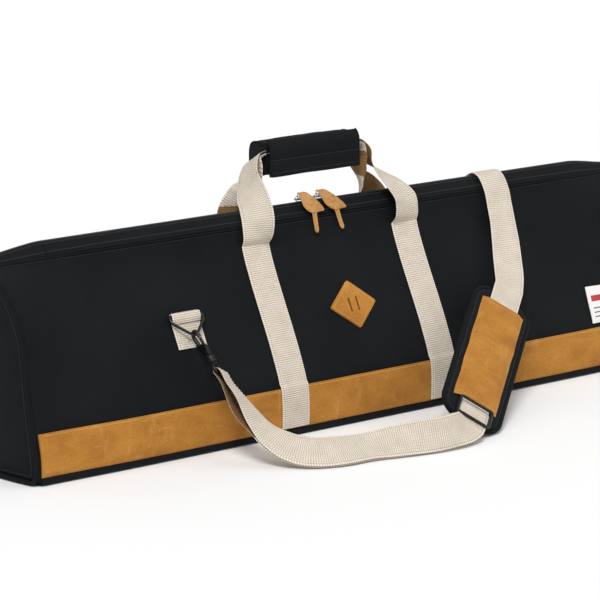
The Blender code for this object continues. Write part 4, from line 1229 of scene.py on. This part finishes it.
def make_hook(word, ring_point, toward_ring, bow_side, eye_side):
    """A swivel hook from its eye to the ring; returns the eye's middle, its bar's direction and the axis."""
    axis = Vector(toward_ring).normalized()
    eye = ring_point - axis * HOOK_LENGTH
    across = square_to(Vector(bow_side), axis)
    depth = axis.cross(across)

    def at(points, y=0.0):
        return [eye + across * x + axis * z + depth * y for x, z in points]
    body, gate = "hook_" + word, "gate_" + word
    barrel = [(0.0150, 0.0026), (0.0150, 0.0042), (0.0155, 0.0049), (0.0172, 0.0051), (0.0180, 0.0043),
              (0.0188, 0.0043), (0.0196, 0.0050), (0.0222, 0.0050), (0.0232, 0.0046), (0.0246, 0.0036),
              (0.0252, 0.0022)]
    finish(turned(word + "_hook_barrel", eye, axis, barrel), "black_plastic", body, word + "_hook_body")
    spine = [(0, 0.0215), (-0.0006, 0.0245), (-0.0025, 0.0290), (-0.0050, 0.0350), (-BOW_RADIUS, 0.0430)]
    for i in range(13):
        angle = pi - pi * i / 12
        spine.append((BOW_RADIUS * cos(angle), BOW_MIDDLE + BOW_RADIUS * sin(angle)))
    spine.append((BOW_RADIUS, 0.0474))
    finish(wire(word + "_hook_bow", smooth_path(at(spine), 3), 0.0023), "black_plastic", body)
    block = [(-0.0040, 0.0238), (0.0038, 0.0238), (0.0062, 0.0290), (0.0072, 0.0345), (0.0030, 0.0390),
             (-0.0030, 0.0418), (-0.0092, 0.0440), (-0.0084, 0.0360)]
    cheek = tube(word + "_hook_cheek", [rounded_loop(at(block, y), 0.0012, 3) for y in (-0.0021, 0.0021)], 35)
    bevel = cheek.modifiers.new("soft", "BEVEL")
    bevel.width = 0.0006
    bevel.segments = 3
    finish(cheek, "black_plastic", body)
    rivet = [(0, 0.0006), (0.0002, 0.0013), (0.0005, 0.0015), (0.0049, 0.0015), (0.0052, 0.0013),
             (0.0054, 0.0006)]
    rivet_foot = at([(0.0012, 0.0292)], -0.0027)[0]
    finish(turned(word + "_hook_rivet", rivet_foot, depth, rivet, 20), "black_metal", body)
    bar = at([(0.0030, 0.0325), (0.0042, 0.0380), (0.0052, 0.0430), (BOW_RADIUS - 0.0002, 0.0462)])
    finish(wire(word + "_gate_bar", smooth_path(bar, 5), 0.0017), "black_plastic", gate, word + "_hook_gate")
    thumb = smooth_path(at([(0.0048, 0.0338), (0.0066, 0.0352), (0.0074, 0.0372)]), 5)
    finish(wire(word + "_gate_thumb", thumb, 0.0011), "black_plastic", gate)

    wide = square_to(Vector(eye_side), axis)
    half = WEB / 2 + 0.0022
    loop = [(-half, 0.0), (half, 0.0), (half, 0.0062), (0.0064, 0.0128), (-0.0064, 0.0128), (-half, 0.0062)]
    frame_loop = rounded_loop([eye + wide * x + axis * z for x, z in loop], 0.0030, 6)
    finish(wire(word + "_eye_loop", frame_loop, 0.0018, True), "black_plastic", "bag", word + "_hook_eye")
    post = [(0.0115, 0.0014), (0.0122, 0.0034), (0.0136, 0.0036), (0.0142, 0.0024), (0.0215, 0.0022)]
    finish(turned(word + "_eye_post", eye, axis, post, 24), "black_plastic", "bag")
    return eye, wide, axis


# Shoulder strap, adjuster and pad

STRAP_LOOP = [((-0.2125, -0.1375, 0.0600), (-0.55, -0.80, -0.22)),
              ((-0.2050, -0.1560, 0.0425), (-0.42, -0.80, -0.40)),
              ((-0.1955, -0.1750, 0.0285), (-0.32, -0.78, -0.54)),
              ((-0.1820, -0.1930, 0.0195), (-0.20, -0.75, -0.63)),
              ((-0.1630, -0.2075, 0.0158), (-0.10, -0.74, -0.66)),
              ((-0.1350, -0.2170, 0.0150), (0, -0.78, -0.63)),
              ((-0.0940, -0.2195, 0.0138), (0, -0.83, -0.55)),
              ((-0.0550, -0.2330, 0.0178), (0, -0.62, -0.78)),
              ((-0.0190, -0.2470, 0.0214), (0.05, -0.25, -0.97)),
              ((0.0040, -0.2480, 0.0224), (0.20, -0.25, -0.95)),
              ((0.0225, -0.2430, 0.0212), (0.45, -0.36, -0.82))]
STRAP_TOP = [((0.2280, -0.0760, 0.1400), (0.86, -0.40, -0.30)),
             ((0.2365, -0.0625, 0.1560), (0.95, -0.24, -0.12)),
             ((0.2435, -0.0505, 0.1740), (0.99, -0.10, 0)),
             ((0.2490, -0.0385, 0.1940), (1, 0, 0)),
             ((0.2520, -0.0285, 0.2130), (1, 0, 0)),
             ((0.2530, -0.0215, 0.2300), (1, 0, 0)),
             ((0.2525, -0.0125, 0.2445), (1, 0, 0)),
             ((0.2520, -0.0040, 0.2500), (1, 0, 0)),
             ((0.2515, 0.0040, 0.2500), (1, 0, 0)),
             ((0.2510, 0.0130, 0.2448), (1, 0, 0))]


def pad_point(across, down, out):
    return PAD_ORIGIN + PAD_ACROSS * across + PAD_DOWN * down + PAD_OUT * out


def strap_path(eye, eye_bar, eye_axis, back_eye, back_axis):
    """Free end at the adjuster, round the front hook's eye, back under the pad and over to the back hook."""
    start = [(eye, eye_bar), (eye - eye_axis * 0.009, eye_bar)]
    last = pad_point(STRAP_ACROSS, ADJUSTER_DOWN + 0.0190, STRAND_RISE + LAYER)
    middle = eased(start + STRAP_LOOP + [(last, PAD_ACROSS)], 9)
    layers = ([], [])
    for i, (centre, across) in enumerate(middle):
        along = middle[min(i + 1, len(middle) - 1)][0] - middle[max(i - 1, 0)][0]
        across = square_to(across, along)
        face = along.cross(across).normalized()
        away = (centre - eye).length
        spread = LAYER + (TURN - LAYER) * (1 - smoothstep(away / 0.018))
        spread += 0.0042 * sin(pi * min(away / STRAP_EYE_REACH, 1)) ** 2
        for layer, way in zip(layers, (1, -1)):
            layer.append((centre + face * spread * way, across))
    first_face = (layers[1][0][0] - eye).normalized()
    turn = []
    for i in range(1, 16):
        angle = pi * i / 16
        turn.append((eye + (first_face * cos(angle) + eye_axis * sin(angle)) * TURN, eye_bar))
    path = layers[1][::-1][2:] + turn + layers[0][:-2]
    over = [(ADJUSTER_DOWN + 0.0150, STRAND_RISE), (0.1900, STRAND_RISE), (0.1850, -0.0004),
            (0.1800, -0.0020)]
    over += [(down, STRAP_DEPTH) for down in (0.1740, 0.1000, 0.0200, -0.0100, -0.0380)]
    path += eased([(pad_point(STRAP_ACROSS, down, out), PAD_ACROSS) for down, out in over], 5)
    path += eased([path[-1]] + STRAP_TOP, 9)[1:]
    sideways = Vector((1, 0, 0))
    outward = back_axis.cross(sideways)
    if outward.y < 0:
        outward = -outward
    for i in range(17):
        angle = pi * i / 16
        path.append((back_eye + (outward * cos(angle) + back_axis * sin(angle)) * TURN, sideways))
    for k in (0.004, 0.010):
        path.append((back_eye - outward * TURN - back_axis * k, sideways))
    return path


def make_strap(path, eye):
    # Painted shade: face -1 of the strap near the front hook's eye, between its two layers, gets the dark
    # brown.
    def loop_painted_shade(face, place):
        return face < 0 and (place - eye).length < STRAP_EYE_REACH
    finish(ribbon("strap", path, 0.0, loop_painted_shade), "beige_webbing", "bag", "shoulder_strap")
    lines = []
    for level in (-1, 1):
        lines.append([(centre - across * (WEB / 2 - 0.0024) + face * level * 0.0008, face * level)
                      for centre, across, face, length in ribbon_frames(path)[2:-18]])
    stitches("strap_thread", lines, "beige_thread", "bag", 0.0040, 0.0026, 0.00020)


def make_adjuster():
    """A frame over the strap and a bar under it."""
    half, reach = WEB / 2 + 0.0020, 0.0128
    wire_radius = 0.0018
    over = STRAND_RISE + WEB_T / 2 + 0.0005 + wire_radius
    under = STRAND_RISE - WEB_T / 2 - 0.0005 - wire_radius

    def at(*points):
        return [pad_point(STRAP_ACROSS + across, ADJUSTER_DOWN + down, out) for across, down, out in points]
    corners = at((-half, -reach, over), (half, -reach, over), (half, reach, over), (-half, reach, over))
    made = wire("adjuster_frame", rounded_loop(corners, 0.0030, 6), wire_radius, True)
    finish(made, "black_metal", "adjuster", "strap_adjuster")
    drop = [(-half, 0, over), (-half + 0.0002, 0, (over + under) / 2), (-half + 0.0016, 0, under)]
    bar = at(*drop, (0, 0, under), *[(-across, 0, out) for across, down, out in reversed(drop)])
    finish(wire("adjuster_bar", smooth_path(bar, 6), wire_radius), "black_metal", "adjuster")


def pad_outline(grow, steps):
    """Rounded outline of the pad as (across, down) points."""
    left, right, top, bottom = PAD_EDGES
    radius = 0.026
    outline = []
    corners = ((right - radius, bottom - radius, 0), (left + radius, bottom - radius, 90),
               (left + radius, top + radius, 180), (right - radius, top + radius, 270))
    for across, down, first in corners:
        for i in range(steps + 1):
            angle = radians(first + 90 * i / steps)
            outline.append((across + (radius + grow) * cos(angle), down + (radius + grow) * sin(angle)))
    return outline


def make_pad():
    """The foam pad, bound and sewn round its edge."""
    rim = pad_outline(0, 8)
    rim = [p for p, along, share in resampled([Vector((*p, 0)) for p in rim + rim[:1]], 0.0042)]
    left, right, top, bottom = PAD_EDGES
    middle = Vector(((left + right) / 2, (top + bottom) / 2, 0))
    rings = []
    for level, shrink in ((-0.0066, 0.86), (-0.0062, 0.94), (-0.0066, 0.985), (-0.0086, 1.0),
                          (-0.0106, 0.985), (-0.0112, 0.94), (-0.0108, 0.86)):
        rings.append([pad_point(*(middle + (p - middle) * shrink).to_2d(), level) for p in rim])
    foam = tube("pad_foam", rings, 60, [[tuple(p.to_2d()) for p in rim]] * len(rings))
    puffed(foam, 0.0030, 2.5, 0.0013)
    finish(foam, "black_foam", "pad", "shoulder_pad")
    border = [pad_point(*p, -0.0086) for p in pad_outline(-0.0006, 10)]
    finish(wire("pad_binding", border, 0.0028, True, 6), "binding", "pad")
    seam = [(pad_point(*p, -0.0064), PAD_OUT) for p in pad_outline(-0.0048, 10)]
    stitches("pad_thread", [seam + seam[:1]], "black_thread", "pad", 0.0032)


def wrinkle(across, down):
    """Height of the suede's creases on the pad, kept above the strap."""
    place = Vector((across * 32, down * 75 + across * 18, 2.0))
    folds = noise.noise(place) + 0.5 * noise.noise(place * 2.1)
    swell = noise.noise(Vector((across * 20, down * 22, 9)))
    crease = max(0, 1 - 9 * abs(noise.noise(Vector((across * 16 + down * 9, down * 30 - across * 8, 5)))))
    return max(0.0012 * folds + 0.0012 * swell - 0.0010 * crease, WRINKLE_LOW)


def make_pad_cover():
    """Suede over the strap: humped along its middle, pressed down at its sewn ends."""
    width, length = PAD_COVER
    rows, uv_rows = [], []
    for i in range(97):
        down = length * i / 96
        press = 1 - smoothstep(min(down, length - down) / 0.006)
        row, uvs = [], []
        for j in range(41):
            share = j / 40
            across = width * share
            hump = smoothstep(min(across, width - across) / 0.0085)
            crumple = wrinkle(across, down) * hump * (1 - 0.75 * press)
            scallop = 0.0007 * noise.noise(Vector((down * 40, share > 0.5, 6)))
            edge = (across - width / 2) * (1 + scallop / (width / 2))
            high = -0.0040 + 0.0042 * hump + crumple - 0.0008 * press
            low = -0.0044 + 0.0028 * hump + crumple * 0.5
            row.append((pad_point(width / 2 + edge, down, max(high, low + 0.0006)),
                        pad_point(width / 2 + edge, down, low)))
            uvs.append((across + 1.3, down + 0.4))
        rows.append(row)
        uv_rows.append(uvs)
    finish(slab("pad_suede", rows, uv_rows), "tan_suede", "pad", "pad_cover")
    lines = [[(outer, PAD_OUT) for outer, inner in rows[i][3:-3]] for i in (3, 93)]
    stitches("pad_suede_thread", lines, "tan_thread", "pad", radius=0.00028)


# Patch and label

def inside(point, outline):
    """True where a (x, z) point lies inside an outline that turns counter-clockwise and has no hollows."""
    for (ax, az), (bx, bz) in zip(outline, outline[1:] + outline[:1]):
        if (bx - ax) * (point[1] - az) - (bz - az) * (point[0] - ax) < 0:
            return False
    return True


def softened(outline, amount, steps):
    """Outline with rounded corners, as (x, z) points."""
    points = rounded_loop([Vector((x, z, 0)) for x, z in outline], amount, steps)
    return [(p.x, p.y) for p in points]


def diamond(half_width, half_height):
    return softened([(PATCH_X, PATCH_Z - half_height), (PATCH_X + half_width, PATCH_Z),
                     (PATCH_X, PATCH_Z + half_height), (PATCH_X - half_width, PATCH_Z)], 0.0030, 4)


def closed_seam(corners, steps, lift):
    """A closed line of stitches' places on the front panel."""
    seam = [skin_at(x, z, -1, lift) for x, z in walked(corners, steps)]
    return [seam + seam[:1]]


def make_patch():
    """A suede diamond with two slits, sewn on round its edge."""
    half_width, half_height = PATCH_HALF
    outline = diamond(half_width, half_height)
    slits = []
    for x in (PATCH_X - 0.0055, PATCH_X + 0.0055):
        corners = [(x - 0.0012, PATCH_Z - 0.0075), (x + 0.0012, PATCH_Z - 0.0075),
                   (x + 0.0012, PATCH_Z + 0.0075), (x - 0.0012, PATCH_Z + 0.0075)]
        slits.append(softened(corners, 0.0010, 3))

    def on_suede(spot):
        return inside(spot, outline) and not any(inside(spot, slit) for slit in slits)
    spots, edges = [], []
    for loop in [outline] + slits:
        fine = []
        for a, b in zip(loop, loop[1:] + loop[:1]):
            count = max(1, int(((b[0] - a[0]) ** 2 + (b[1] - a[1]) ** 2) ** 0.5 / PATCH_GRID))
            fine += walked([a, b], count)[:count]
        first = len(spots)
        spots += fine
        edges += [(first + k, first + (k + 1) % len(fine)) for k in range(len(fine))]
    for i in range(58):
        for j in range(46):
            spot = (-0.0300 + 0.00116 * i, 0.1052 + 0.00116 * j)
            if on_suede(spot):
                spots.append(spot)
    places, _, flat = geometry.delaunay_2d_cdt([Vector(p) for p in spots], edges, [], 0, 0.00002)[:3]
    faces = []
    for face in flat:
        if on_suede([sum(places[k][axis] for k in face) / len(face) for axis in (0, 1)]):
            faces.append(tuple(face))
    points, uvs = [], []
    for top in (True, False):
        for x, z in places:
            diagonal = abs(x - PATCH_X) / half_width + abs(z - PATCH_Z) / half_height
            rim = min(abs(diagonal - 1) * 0.0205, 0.004)
            dome = 0.0006 * smoothstep(rim / 0.0018) - 0.0005 * max(0, 1 - abs(rim - 0.0026) / 0.0007)
            high = 0.0024 + dome + 0.0004 * noise.noise(Vector((x * 90, z * 90, 1)))
            points.append(skin_at(x, z, -1, high if top else 0.0006)[0])
            uvs.append((x + 2.2, z + 1.1))
    shift = len(places)
    rims = {edge for face in faces for edge in zip(face, face[1:] + face[:1])}
    faces += [tuple(k + shift for k in reversed(face)) for face in faces]
    faces += [(b, a, a + shift, b + shift) for a, b in sorted(rims) if (b, a) not in rims]
    finish(add_mesh("suede_patch", points, faces, uvs, 45), "tan_suede", "bag", "lash_patch")
    seam = closed_seam(diamond(half_width - 0.0045, half_height - 0.0035), 4, 0.0026)
    stitches("patch_thread", seam, "tan_thread", "bag", 0.0030, 0.0022)


def label_strip(name, look, x_low, x_high, z_low, z_high, low=0.0016, high=0.00205, *nodes):
    steps = max(2, int((x_high - x_low) / 0.0025))
    rows = []
    for i in range(steps + 1):
        x = x_low + (x_high - x_low) * i / steps
        heights = [z_low + (z_high - z_low) * k / 8 for k in range(9)]
        rows.append([(skin_at(x, z, -1, high)[0], skin_at(x, z, -1, low)[0]) for z in heights])
    finish(slab(name, rows), look, "bag", *nodes)


def make_label():
    """A small sewn label that carries only plain bars and lines."""
    x_low, x_high, z_low, z_high = LABEL_EDGES
    label_strip("label", "white_label", x_low, x_high, z_low, z_high, 0.0010, 0.0019, "side_label")
    label_strip("label_bar", "label_red", x_low + 0.005, x_high - 0.005, 0.0880, 0.0950)
    for i, right in enumerate((0.034, 0.029, 0.032)):
        z = 0.0795 - 0.0050 * i
        label_strip(f"label_line_{i}", "label_grey", x_low + 0.006, x_low + right, z, z + 0.0013)
    x_low, x_high, z_low, z_high = x_low + 0.0016, x_high - 0.0016, z_low + 0.0016, z_high - 0.0016
    seam = closed_seam([(x_low, z_low), (x_high, z_low), (x_high, z_high), (x_low, z_high)], 8, 0.0020)
    stitches("label_thread", seam, "beige_thread", "bag", 0.0026, 0.0018, 0.00022)


# Base

def make_base():
    rows = []
    for share in shares(70):
        row = []
        for k in range(17):
            y = (HALF_DEPTH - 0.0018) * (2 * k / 16 - 1)
            x = bowed(share * 0.996, y)
            wave = 0.0004 * (1 + noise.noise(Vector((x * 12, y * 14, 2))))
            row.append((Vector((x, y, 0.0002 + wave)), Vector((x, y, 0.0026))))
        rows.append(row)
    uv_rows = [[(outer.x, outer.y) for outer, inner in row] for row in rows]
    finish(slab("base_shell", rows, uv_rows), "black_fabric", "bag", "base_panel")


# Floor and lights

def floor_and_lights():
    bpy.ops.mesh.primitive_plane_add(size=60, location=(0, 0, -0.0002))
    floor = bpy.context.object
    floor.name = "floor"
    floor.data.materials.append(Paint("floor", (0.86, 0.86, 0.86), 0.9).made)
    world = bpy.data.worlds.new("studio")
    world.use_nodes = True
    background = world.node_tree.nodes["Background"]
    background.inputs["Color"].default_value = (1, 1, 1, 1)
    background.inputs["Strength"].default_value = 0.58
    bpy.context.scene.world = world
    for name, direction, angle, strength in (("key", (0.50, 0.55, -0.95), 20, 2.15),
                                             ("fill", (-0.7, 0.6, -0.6), 50, 0.45)):
        light = bpy.data.lights.new(name, "SUN")
        light.angle = radians(angle)
        light.energy = strength
        lamp = bpy.data.objects.new(name, light)
        lamp.rotation_euler = Vector(direction).to_track_quat("-Z", "Y").to_euler()
        bpy.context.scene.collection.objects.link(lamp)


def paint_nodes():
    """Better materials for the CAD pieces that stay in sight."""
    for name, look in (("base_board", "grey_board"), ("grip_loop_tape", "loop_tape"),
                       ("grip_hook_tape", "loop_tape")):
        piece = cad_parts[name]
        piece.data.materials.clear()
        piece.data.materials.append(MATERIALS[look])


def main():
    floor_and_lights()
    make_base()
    for word, side in (("front", -1), ("back", 1)):
        make_side(word, side)
        make_run(word, side, "left", -HANDLE_X)
        make_run(word, side, "right", HANDLE_X)
    make_end("left", -1)
    make_end("right", 1)
    make_zip()
    for word, x, lean, uv_shift in (("left", -0.032, 0.0, 0.3), ("right", -0.005, 0.20, 0.7)):
        make_slider(word, x)
        make_pull_ring(word, x)
        make_pull(word, x, lean, uv_shift)
    make_loop("front", -1, FRONT_LEFT_LEG, FRONT_RIGHT_LEG, 0.0016, front_painted_shade)
    make_loop("back", 1, BACK_LEFT_LEG, BACK_RIGHT_LEG, -0.0016, back_painted_shade)
    make_grip()
    make_grip_flap()
    make_tab("front", FRONT_TAB_X, -1)
    make_tab("back", BACK_TAB_X, 1)
    front_ring = make_ring("front", FRONT_TAB_X, -1, -1, 0.31)
    back_ring = make_ring("back", BACK_TAB_X, 1, 1, 0.25)
    front_eye = make_hook("front", front_ring, (-0.17, 0.68, 0.71), (0, -1, 0), (-0.56, -0.83, 0))
    back_eye, _, back_axis = make_hook("back", back_ring, (0, 0.36, -0.933), (0, 1, 0), (1, 0, 0))
    make_strap(strap_path(*front_eye, back_eye, back_axis), front_eye[0])
    make_adjuster()
    make_pad()
    make_pad_cover()
    make_patch()
    make_label()
    paint_nodes()


main()
